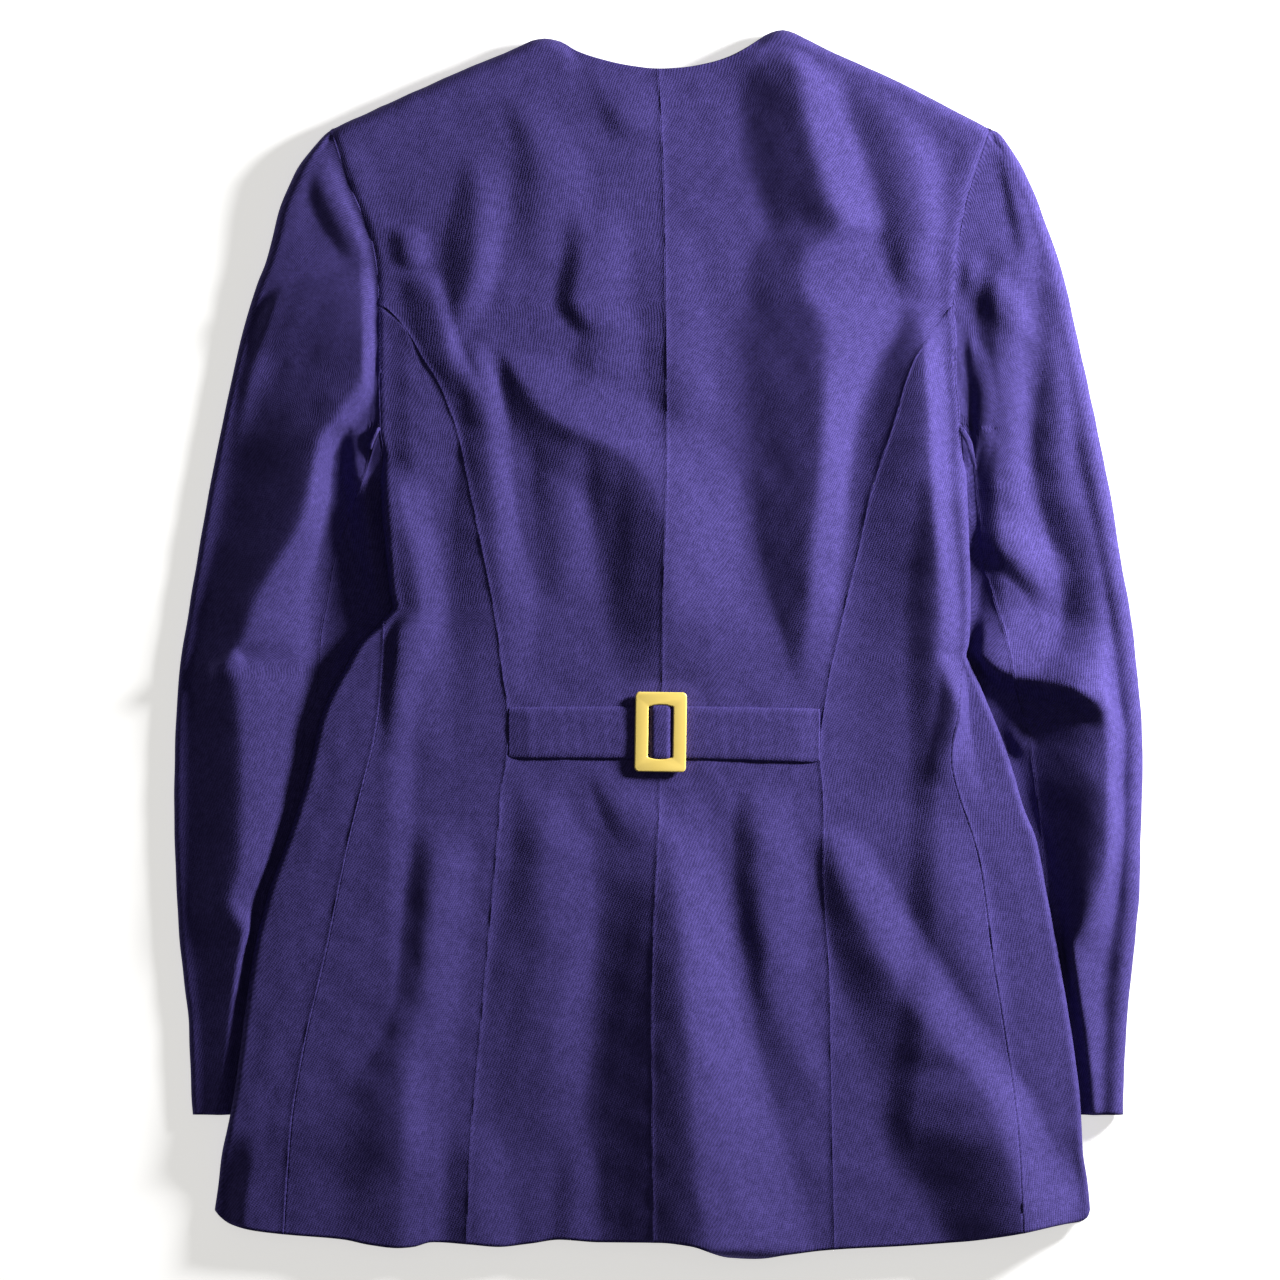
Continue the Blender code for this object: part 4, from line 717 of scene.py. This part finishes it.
def armholeStart(side, place, upper):  # on the back's side of the seam where upper, else the front's
    return np.where(upper[..., None], armholePoint(side, place, 1.0), armholePoint(side, place, -1.0))


def sleeveRowLevel(first, t):  # t runs to 1 over the fan from the armhole, then to the cuff
    least, most, reach = sleeve["fanPower"]
    power = mix(least, most, ease((first - body["underarm"]) / reach))
    high, low = sleeve["levels"]
    fan = mix(first, high, np.clip(t, 0, 1) ** power)
    return np.where(t > 1, mix(high, low, t - 1), fan)


def aboveFloor(points):
    points[..., 2] = np.maximum(points[..., 2], body["floorLevel"])
    return points


def topSleevePoints(side, u, t):  # u is -1 at the front seam, 0 at the outer fold, 1 at the back
    c = np.abs(u)
    layer = np.where(u < 0, -1.0, 1.0)
    place = sleeve["armholeRows"] * c
    start = armholeStart(side, place, layer > 0)
    first = start[..., 1]
    y = sleeveRowLevel(first, t)

    def full(level):
        return np.where(layer > 0, upperSleeveWidth(side, level), lowerSleeveWidth(side, level))

    def plain(level):
        roll, _, _ = sleeveColumns(side, level)
        quarter = roll * math.pi / 2
        rolled = sleeve["rollRows"] / sleeve["armholeRows"]
        across = np.clip((c - rolled) / (1 - rolled), 0, 1)
        return np.where(c < rolled, quarter * c / rolled, mix(quarter, full(level), across))

    beside = (full(first) - plain(first)) * ease(place / sleeve["rollRows"])
    along = plain(y) + beside * (1 - np.clip((first - y) / sleeve["capBlend"], 0, 1)) ** 2
    point = sleeveSurface(side, layer * along, y)
    shift = start - sleeveSurface(side, layer * (plain(first) + beside), first)
    return aboveFloor(point + shift * (1 - ease((first - y) / sleeve["blend"]))[..., None])


def underSleevePoints(side, u, t):  # u runs from the back seam round the inner fold
    dip = 1 - np.abs(2 * u - 1)
    place = sleeve["armholeRows"] + 2 * dip
    start = armholeStart(side, place, u < 0.5)
    start[..., 0] += sign[side] * sleeve["underarmStep"] * dip
    first = start[..., 1]
    y = sleeveRowLevel(first, t)

    def surface(level):
        roll, outer, inner = sleeveColumns(side, level)
        small = np.minimum(sleeveInnerRoll(level), roll)
        turn = small * math.pi / 2
        whole = roll * math.pi / 2 + turn + outer - roll - inner - small
        fold = [whole + turn * part for part in (-1, -0.5, 0, 0.5, 1)]
        shares = (0.3, 0.4, 0.5, 0.6, 0.7)
        begin = upperSleeveWidth(side, level)
        end = np.maximum(2 * whole - lowerSleeveWidth(side, level), whole + 1)
        return sleeveSurface(side, spread(u, [(0, begin), *zip(shares, fold), (1, end)]), level)

    left = 1 - ease((first - y) / sleeve["blend"])
    return aboveFloor(surface(y) + (start - surface(first)) * left[..., None])


# Sewing and wear of the cloth, laid on every panel's own grid of points.
needle = {
    "seamDepth": 0.32,  # how far the cloth dips into a seam
    "seamWidth": 0.9,
    "pucker": 0.14,  # height of the small waves beside a seam
    "puckerReach": 8.0,
    "puckerPitch": 13.0,
    "puckerStart": 2.5,  # they grow over this stretch from the seam
    "rumple": 0.22,  # height of the faint unevenness all over
    "rumplePitch": 26.0,
    "wall": 1.3,  # thickness of the shell
}


def waves(place, pitch, seed):  # uneven waves between -1 and 1 along a line
    draw = np.random.default_rng(seed)
    total = 0
    for share in (1.0, 0.62, 1.53):
        phase = draw.uniform(0, 2 * math.pi)
        stretch = draw.uniform(0.85, 1.15)
        total = total + np.sin(2 * math.pi * place * share / (pitch * stretch) + phase)
    return total / 3


def rumple(x, y, pitch, seed):  # soft uneven swells over a surface
    draw = np.random.default_rng(seed)
    total = 0
    for _ in range(7):
        angle = draw.uniform(0, math.pi)
        scale = pitch * draw.uniform(0.6, 1.7)
        run = x * math.cos(angle) + y * math.sin(angle)
        total = total + np.sin(2 * math.pi * run / scale + draw.uniform(0, 2 * math.pi))
    return total / 4


def clothMap(points):  # distances across and up the cloth, from the middle column and the foot
    across = np.linalg.norm(np.diff(points, axis=1), axis=-1)
    across = np.concatenate([np.zeros((len(points), 1)), np.cumsum(across, 1)], 1)
    middle = points.shape[1] // 2
    up = np.linalg.norm(np.diff(points, axis=0), axis=-1)
    up = np.concatenate([np.zeros((1, points.shape[1])), np.cumsum(up, 0)], 0)
    return across - across[:, middle:middle + 1], up[-1:] - up


def normals(points):  # of a panel's grid
    n = np.cross(np.gradient(points, axis=1), np.gradient(points, axis=0))
    return n / np.maximum(np.linalg.norm(n, axis=-1, keepdims=True), 1e-9)


def sewn(points, seams, seed, outward):  # seams are the borders that are sewn: left, right, top
    u, v = clothMap(points)
    n = normals(points) * outward
    lift = needle["rumple"] * rumple(u, v, needle["rumplePitch"], seed)
    width, reach = needle["seamWidth"], needle["puckerReach"]
    borders = {"left": (u - u[:, :1], v), "right": (u[:, -1:] - u, v), "top": (v[:1] - v, u)}
    for count, name in enumerate(seams):
        away, place = borders[name]
        ripple = waves(place, needle["puckerPitch"], seed + 7 * count)
        ripple = ripple * np.exp(-away / reach) * ease(away / needle["puckerStart"])
        lift = lift + needle["pucker"] * ripple
        lift = lift - needle["seamDepth"] * np.exp(-(away / width) ** 2)
    return points + n * lift[..., None]


# The twill
twill = {
    "base": (0.03, 0.022, 0.103),
    "rib": (0.077, 0.057, 0.24),
    "pitch": 1.55,  # from rib to rib, square to them
    "angle": math.radians(65),  # steepness of the ribs
    "float": 1.1,  # length of one stitch of a rib
    "ribShare": 0.75,  # how much of the relief is ribs, the rest is stitches
    "roughness": 0.82,
    "sheen": 0.03,
    "sheenTint": (0.66, 0.6, 1.0, 1.0),
    "sheenRoughness": 0.45,
    "specular": 0.12,
    "bump": 0.5,
    "bumpDepth": 0.25,
    "yarnScale": 900.0,  # noise of single yarns, for one metre
    "slubScale": 260.0,  # thick and thin places that push the ribs aside
    "patchScale": 28.0,  # broad faint patches
    "yarnPush": 3.0,
    "slubPush": 9.0,
    "tone": {"rest": 0.05, "weave": 0.7, "patch": 0.35, "yarn": 1.0, "slub": 0.9},
}


class Wire:  # a socket that takes part in Python expressions
    def __init__(self, tree, socket):
        self.tree, self.socket = tree, socket

    def node(self, kind, settings=None, **sockets):
        made = self.tree.nodes.new(kind)
        for name, value in (settings or {}).items():
            setattr(made, name, value)
        for name, value in sockets.items():
            key = int(name[1:]) if name[0] == "_" else name
            if isinstance(value, Wire):
                self.tree.links.new(value.socket, made.inputs[key])
            else:
                made.inputs[key].default_value = value
        return made

    def out(self, made, name=0):
        return Wire(self.tree, made.outputs[name])

    def maths(self, operation, a, b=0.0):
        made = self.node("ShaderNodeMath", {"operation": operation}, _0=a, _1=b)
        return self.out(made)

    def __add__(self, other):
        return self.maths("ADD", self, other)

    def __radd__(self, other):
        return self.maths("ADD", other, self)

    def __sub__(self, other):
        return self.maths("SUBTRACT", self, other)

    def __rsub__(self, other):
        return self.maths("SUBTRACT", other, self)

    def __mul__(self, other):
        return self.maths("MULTIPLY", self, other)

    def __rmul__(self, other):
        return self.maths("MULTIPLY", other, self)

    def into(self, shader, name):
        self.tree.links.new(self.socket, shader.inputs[name])

    def noise(self, place, scale):
        return self.out(self.node("ShaderNodeTexNoise", None, Vector=place, Scale=scale))

    def sine(self):
        return self.maths("SINE", self)


def newFinish(name):
    made = bpy.data.materials.new(name)
    made.use_nodes = True
    shader = made.node_tree.nodes["Principled BSDF"]
    return made, shader, Wire(made.node_tree, None)


def fixed(shader, **values):
    for name, value in values.items():
        shader.inputs[name].default_value = value


def blendColours(wire, mask, a, b):
    return wire.out(wire.node("ShaderNodeMix", {"data_type": "RGBA"}, _0=mask, _6=a, _7=b), 2)


def addBump(wire, shader, finish, height):
    depth = finish["bumpDepth"] * mm
    bump = wire.node("ShaderNodeBump", Strength=finish["bump"], Distance=depth, Height=height)
    wire.out(bump).into(shader, "Normal")


def twillFinish():
    made, shader, wire = newFinish("violet twill")
    place = wire.node("ShaderNodeUVMap", {"uv_map": "cloth"})
    parts = wire.node("ShaderNodeSeparateXYZ", _0=wire.out(place))
    u, v = wire.out(parts), wire.out(parts, 1)  # metres across and up the cloth
    solid = wire.out(wire.node("ShaderNodeTexCoord"), "Object")
    yarn = wire.noise(solid, twill["yarnScale"])
    patch = wire.noise(solid, twill["patchScale"])
    turn = 2 * math.pi / (twill["pitch"] * mm)
    acrossRibs = u * (math.sin(twill["angle"]) * turn) - v * (math.cos(twill["angle"]) * turn)
    slub = wire.noise(solid, twill["slubScale"])
    rib = 0.5 + 0.5 * (acrossRibs + yarn * twill["yarnPush"] + slub * twill["slubPush"]).sine()
    alongRibs = v * (2 * math.pi / (twill["float"] * mm))
    stitch = 0.5 + 0.5 * (alongRibs + acrossRibs * 0.5).sine()
    weave = rib * twill["ribShare"] + stitch * (1 - twill["ribShare"])
    share = twill["tone"]
    tone = share["rest"] + weave * share["weave"] + (patch - 0.5) * share["patch"]
    tone = tone + (yarn - 0.5) * share["yarn"] + (slub - 0.5) * share["slub"]
    tone = wire.maths("MINIMUM", wire.maths("MAXIMUM", tone, 0.0), 1.0)
    colour = blendColours(wire, tone, (*twill["base"], 1), (*twill["rib"], 1))
    colour.into(shader, "Base Color")
    addBump(wire, shader, twill, weave)
    fixed(shader, **{"Roughness": twill["roughness"], "Specular IOR Level": twill["specular"]})
    fixed(shader, **{"Sheen Weight": twill["sheen"], "Sheen Roughness": twill["sheenRoughness"]})
    fixed(shader, **{"Sheen Tint": twill["sheenTint"]})
    return made


gold = {
    "colour": (1.0, 0.76, 0.21),
    "shade": (0.96, 0.7, 0.16),
    "roughness": 0.3,
    "roughChange": 0.12,
    "metallic": 0.22,
    "cloudScale": 90.0,
    "brushScale": 700.0,
    "brushStretch": 14.0,
    "bump": 0.12,
    "bumpDepth": 0.05,
}


def goldFinish():
    made, shader, wire = newFinish("satin gold")
    solid = wire.out(wire.node("ShaderNodeTexCoord"), "Object")
    cloud = wire.noise(solid, gold["cloudScale"])
    colour = blendColours(wire, cloud, (*gold["colour"], 1), (*gold["shade"], 1))
    colour.into(shader, "Base Color")
    stretch = (1.0, gold["brushStretch"], 1.0)
    stretched = wire.node("ShaderNodeMapping", None, Vector=solid, Scale=stretch)
    brush = wire.noise(wire.out(stretched), gold["brushScale"])
    rough = gold["roughness"] + (brush - 0.5) * gold["roughChange"]
    rough.into(shader, "Roughness")
    addBump(wire, shader, gold, brush)
    fixed(shader, Metallic=gold["metallic"])
    return made


twillMaterial = twillFinish()
goldMaterial = goldFinish()
print("finishes made")


def newObject(name, data):
    made = bpy.data.objects.new(name, data)
    bpy.context.scene.collection.objects.link(made)
    return made


def addPiece(name, mesh, material, node):
    made = newObject(name, mesh)
    mesh.materials.append(material)
    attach(made, "root")
    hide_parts(node)
    return made


def clothPiece(name, points, node, turn=1, wall=needle["wall"]):  # turn: -1 mirrors the weave
    rows, columns = points.shape[:2]
    mesh = bpy.data.meshes.new(name)
    form = bmesh.new()
    bmesh.ops.create_grid(form, x_segments=columns - 1, y_segments=rows - 1, size=1)
    u, v = clothMap(points)
    for vertex in form.verts:
        column = round((vertex.co.x + 1) / 2 * (columns - 1))
        row = round((1 - vertex.co.y) / 2 * (rows - 1))
        vertex.co = points[row, column] * mm
        vertex.index = row * columns + column
    layer = form.loops.layers.uv.new("cloth")
    flatU, flatV = turn * u.ravel() * mm, v.ravel() * mm
    for face in form.faces:
        face.smooth = True
        for loop in face.loops:
            loop[layer].uv = (flatU[loop.vert.index], flatV[loop.vert.index])
    bmesh.ops.recalc_face_normals(form, faces=form.faces)
    form.to_mesh(mesh)
    form.free()
    made = addPiece(name, mesh, twillMaterial, node)
    shell = made.modifiers.new("wall", "SOLIDIFY")
    shell.thickness = wall * mm
    shell.offset = 0
    area = np.linalg.norm(np.cross(np.diff(points, axis=0)[:, 1:], np.diff(points, axis=1)[1:]), axis=-1)
    print(name, rows * columns, "points,", round(area.sum() / 1e6, 4), "m2")


# Each panel's columns and the share of its width that the seams' own columns take at an edge,
# its rows as (from, to, steps), its sewn borders, and its flat cut in metres and square metres
backPanel = {
    "columns": 64, "edge": 0.006, "rows": ((-1, 0, 12), (0, 1, 76), (1, 2, 280)),
    "seams": ("left", "right"), "seed": 11, "flat": (0.2, 0.74), "area": 0.091,
}
sideBack = {
    "columns": 62, "edge": 0.01, "rows": ((0, 1, 20), (1, 2, 262)),
    "seams": ("left", "right"), "seed": 21, "flat": (0.135, 0.57), "area": 0.047,
}
frontPanel = {
    "columns": 66, "edge": 0.004, "rows": ((-1, 0, 10), (0, 1, 60), (1, 2, 262)),
    "seams": ("left",), "seed": 31, "flat": (0.31, 0.73), "area": 0.158,
}
topSleeve = {
    "columns": 118, "edge": 0.006, "rows": ((0, 1, 104), (1, 2, 186)),
    "seams": ("right", "top"), "seed": 41, "flat": (0.2, 0.61), "area": 0.093,
}
underSleeve = {
    "columns": 60, "edge": 0.012, "rows": ((0, 1, 24), (1, 2, 186)),
    "seams": ("left",), "seed": 51, "flat": (0.104, 0.423), "area": 0.03,
}


def stages(*parts):  # (from, to, steps) stretches joined into one run of values
    runs = [np.linspace(low, high, steps + 1)[1:] for low, high, steps in parts]
    return np.concatenate([[parts[0][0]], *runs])


def panelColumns(count, low, edge):  # from low to 1, closer at both edges for the seams
    edge *= 1 - low
    return stages((low, low + edge, 3), (low + edge, 1 - edge, count - 6), (1 - edge, 1, 3))


def backPoints(side, u, row):
    return bodyPoints(side, backColumns, u, row)


def frontPoints(side, u, row):
    return bodyPoints(side, frontColumns, u, row, front=True)


def makePanel(name, node, cut, surface, side, outward, low=0.0):
    across = panelColumns(cut["columns"], low, cut["edge"])
    points = surface(side, *np.meshgrid(across, stages(*cut["rows"])))
    points = sewn(points, cut["seams"], cut["seed"] + list(sign).index(side), outward)
    clothPiece(f"{name}_{side}", aboveFloor(points), f"{node}_{side}", outward)


def makeBody():
    for side, outward in sign.items():
        makePanel("backPanel", "back", backPanel, backPoints, side, outward)
        makePanel("sideBackPanel", "side_back", sideBack, sideBackPoints, side, outward)
        makePanel("frontPanel", "front", frontPanel, frontPoints, side, outward)
    print("body sewn")


def makeSleeves():
    for side, outward in sign.items():
        makePanel("topSleeve", "top_sleeve", topSleeve, topSleevePoints, side, -outward, -1.0)
        makePanel("underSleeve", "under_sleeve", underSleeve, underSleevePoints, side, -outward)
    print("sleeves sewn")


# The half-belt and its buckle
belt = {
    "thickness": 1.6,
    "gap": 0.2,  # between the belt and the back
    "backWall": 0.75,  # from the middle of the back's cloth to its face
    "tuck": 1.2,  # how far its sewn ends lie lower
    "tuckReach": 14.0,
    "grid": (190, 24),  # steps along and up
    "straight": 17.0,  # its long edges lie level this far to both sides of the buckle's middle
    "levelReach": (14.0, 12.0),  # it lies level so far, then comes down to the back over so much
    "barReach": (4.0, 3.2),  # it lies over the bar so far, then dips under the frame
    "barGap": 0.35,  # between the bar and the belt
    "swell": (0.9, 0.2),  # how far it fills the window's upper and lower arc
    "swellReach": (4.0, 5.0),
    "edgeRoll": (1.0, 1.3),  # drop and width of its rolled long edges
    "rumple": (0.16, 14.0, 61),  # height, pitch and seed
    "ends": {"left": (-90.0, -38.0, -68.4), "right": (96.6, -38.8, -71.2)},
    "atBuckle": (-37.6, -68.6),
    "flat": (0.189, 0.033),
    "area": 0.006,
}
buckle = {
    "centre": (1.2, -52.6),
    "turn": math.radians(-0.9),
    "size": (30.9, 47.8, 2.6),
    "corner": 2.8,
    "window": (14.7, 30.6),
    "bevel": 0.9,
    "sharp": math.radians(40),  # a steeper edge stays crisp
    "windowCorner": 0.8,
    "windowBulge": 1.0,  # how far the window's short ends bow outwards
    "bar": (2.4, 1.0),  # width and thickness
    "barOverlap": 6.0,  # how much longer than the window it is
    "barRise": 0.3,  # its underside over the frame's
    "nest": 0.12,  # gap between the belt and the frame
}


def backHeight(x, y):
    levels = [
        frontLevel(side, sign[side] * x, y) + 2 * halfThickness(side, sign[side] * x, y)
        for side in sign
    ]
    return np.where(x < 0, *levels)


def buckleBase():
    x, y = buckle["centre"]
    top = backHeight(np.array([x]), np.array([y]))[0]
    return top + belt["backWall"] + belt["gap"] + belt["thickness"] + buckle["nest"]


def makeBelt():
    xLeft, topLeft, bottomLeft = belt["ends"]["left"]
    xRight, topRight, bottomRight = belt["ends"]["right"]
    centre = buckle["centre"][0]
    steps, rows = belt["grid"]
    x, t = np.meshgrid(stages((xLeft, xRight, steps)), stages((0, 1, rows)))
    stations = (xLeft, centre - belt["straight"], centre + belt["straight"], xRight)
    middleTop, middleBottom = belt["atBuckle"]
    top = np.interp(x, stations, (topLeft, middleTop, middleTop, topRight))
    bottom = np.interp(x, stations, (bottomLeft, middleBottom, middleBottom, bottomRight))
    away = np.abs(x - centre)

    def beyond(reach):  # 0 up to reach[0] from the buckle's middle, 1 from reach[1] further
        return ease((away - reach[0]) / reach[1])

    swell = 1 - beyond(belt["swellReach"])
    upper, lower = belt["swell"]
    y = mix(top + upper * swell, bottom - lower * swell, t)
    thickness = belt["thickness"]
    lying = backHeight(x, y) + belt["backWall"] + belt["gap"] + thickness / 2
    level = buckleBase() - buckle["nest"] - thickness / 2
    overBar = level + buckle["nest"] + buckle["bar"][1] + belt["barGap"] + thickness
    z = mix(level, lying, beyond(belt["levelReach"]))
    z = mix(z, overBar, 1 - beyond(belt["barReach"]))
    z = z - belt["tuck"] * (1 - ease(np.minimum(x - xLeft, xRight - x) / belt["tuckReach"]))
    edge = np.minimum(t, 1 - t) * (top - bottom)
    drop, rollWidth = belt["edgeRoll"]
    z = z - drop * np.exp(-((edge / rollWidth) ** 2))
    points = np.stack([x, y, z], -1)
    height, pitch, seed = belt["rumple"]
    points = points + normals(points) * (height * rumple(x, y, pitch, seed))[..., None]
    clothPiece("halfBelt", points, "half_belt", wall=thickness)
    print("half-belt laid")


def roundedOutline(width, height, radius, bulge):
    points = []
    for quarter in range(4):
        sx, sy = ((1, 1), (-1, 1), (-1, -1), (1, -1))[quarter]
        for step in range(7):
            angle = math.radians(90 * quarter + 15 * step)
            x = sx * (width / 2 - radius) + radius * math.cos(angle)
            points.append((x, sy * (height / 2 - radius) + radius * math.sin(angle)))
        if bulge and quarter % 2 == 0:
            half = width / 2 - radius
            ends = np.linspace(half, -half, 9)[1:-1] * (1 if quarter == 0 else -1)
            points += [(x, sy * (height / 2 + bulge * (1 - (x / half) ** 2))) for x in ends]
    return points


def makeBuckle():
    width, height, thickness = buckle["size"]
    curve = bpy.data.curves.new("buckleOutline", "CURVE")
    curve.dimensions = "2D"
    curve.fill_mode = "BOTH"
    curve.extrude = (thickness / 2 - buckle["bevel"]) * mm
    curve.bevel_depth = buckle["bevel"] * mm
    curve.bevel_resolution = 3
    curve.offset = -buckle["bevel"] * mm
    window = roundedOutline(*buckle["window"], buckle["windowCorner"], buckle["windowBulge"])
    for outline in (roundedOutline(width, height, buckle["corner"], 0), window):
        spline = curve.splines.new("POLY")
        spline.points.add(len(outline) - 1)
        for point, (x, y) in zip(spline.points, outline):
            point.co = (x * mm, y * mm, 0, 1)
        spline.use_cyclic_u = True
    maker = newObject("buckleOutline", curve)
    graph = bpy.context.evaluated_depsgraph_get()
    graph.update()
    mesh = bpy.data.meshes.new_from_object(maker.evaluated_get(graph))
    bpy.data.objects.remove(maker)
    form = bmesh.new()
    form.from_mesh(mesh)
    bmesh.ops.remove_doubles(form, verts=form.verts, dist=0.00001)
    base = buckleBase()
    bmesh.ops.translate(form, verts=form.verts, vec=(0, 0, (base + thickness / 2) * mm))
    barWidth, barThickness = buckle["bar"]
    bar = bmesh.ops.create_cube(form, size=1)["verts"]
    barLength = buckle["window"][1] + buckle["barOverlap"]
    bmesh.ops.scale(form, vec=(barWidth * mm, barLength * mm, barThickness * mm), verts=bar)
    barLevel = base + buckle["barRise"] + barThickness / 2
    bmesh.ops.translate(form, verts=bar, vec=(0, 0, barLevel * mm))
    turn = Matrix.Rotation(buckle["turn"], 3, "Z")
    bmesh.ops.rotate(form, verts=form.verts, cent=(0, 0, 0), matrix=turn)
    x, y = buckle["centre"]
    bmesh.ops.translate(form, verts=form.verts, vec=(x * mm, y * mm, 0))
    bmesh.ops.recalc_face_normals(form, faces=form.faces)
    for face in form.faces:
        face.smooth = True
    form.to_mesh(mesh)
    form.free()
    mesh.materials.clear()
    made = addPiece("buckleFrame", mesh, goldMaterial, "buckle")
    split = made.modifiers.new("edges", "EDGE_SPLIT")
    split.split_angle = buckle["sharp"]
    print("buckle made")


makeBody()
makeSleeves()
makeBelt()
makeBuckle()


# The studio: a pale floor, one low lamp from the upper right and a soft fill from above
studio = {
    "aim": (-11.1, 2.4),  # middle of the picture
    "width": 768.0,  # stretch of the floor that the picture shows
    "distance": 5.0,  # metres, as the lamps' places and sizes are
    "floor": (0.86, 0.86, 0.865),
    "floorRoughness": 0.9,
    "floorSpecular": 0.1,
    "glow": 0.62,  # light that the white floor gives, as a lit table does
    "glowColour": (1, 0.985, 0.95, 1),
    "keyPlace": (1.05, 0.5, 0.44),
    "keySize": 0.3,
    "keyPower": 46.0,
    "fillPlace": (0.1, 0.2, 3.2),
    "fillSize": 2.6,
    "fillPower": 4.5,
    "sky": 0.065,
    "skyColour": (0.97, 0.98, 1, 1),
    "sensor": 36.0,
    "farthest": 50.0,  # metres
    "floorReach": 6.0,  # metres
    "floorGap": 0.2,  # the floor lies this far below the cloth
}


def makeLamp(name, place, size, power):
    lamp = bpy.data.lights.new(name, "AREA")
    lamp.shape = "DISK"
    lamp.size = size
    lamp.energy = power
    made = newObject(name, lamp)
    made.location = place
    made.rotation_euler = Vector(place).to_track_quat("Z", "Y").to_euler()


def makeStudio():
    scene = bpy.context.scene
    form = bmesh.new()
    bmesh.ops.create_grid(form, x_segments=1, y_segments=1, size=studio["floorReach"])
    mesh = bpy.data.meshes.new("floor")
    form.to_mesh(mesh)
    form.free()
    made, shader, _ = newFinish("pale floor")
    fixed(shader, **{"Base Color": (*studio["floor"], 1), "Roughness": studio["floorRoughness"]})
    fixed(shader, **{"Specular IOR Level": studio["floorSpecular"]})
    fixed(shader, **{"Emission Color": studio["glowColour"], "Emission Strength": studio["glow"]})
    mesh.materials.append(made)
    floor = newObject("floor", mesh)
    floor.location.z = -studio["floorGap"] * mm
    world = bpy.data.worlds.new("studio")
    world.use_nodes = True
    sky = world.node_tree.nodes["Background"]
    sky.inputs["Color"].default_value = studio["skyColour"]
    sky.inputs["Strength"].default_value = studio["sky"]
    scene.world = world
    makeLamp("key", studio["keyPlace"], studio["keySize"], studio["keyPower"])
    makeLamp("fill", studio["fillPlace"], studio["fillSize"], studio["fillPower"])
    lens = bpy.data.cameras.new("camera")
    lens.sensor_width = studio["sensor"]
    lens.lens = studio["sensor"] * studio["distance"] / (studio["width"] * mm)
    lens.clip_end = studio["farthest"]
    camera = newObject("camera", lens)
    x, y = studio["aim"]
    camera.location = (x * mm, y * mm, studio["distance"])
    scene.camera = camera
    scene.view_settings.view_transform = "Standard"
    print("studio set")


makeStudio()
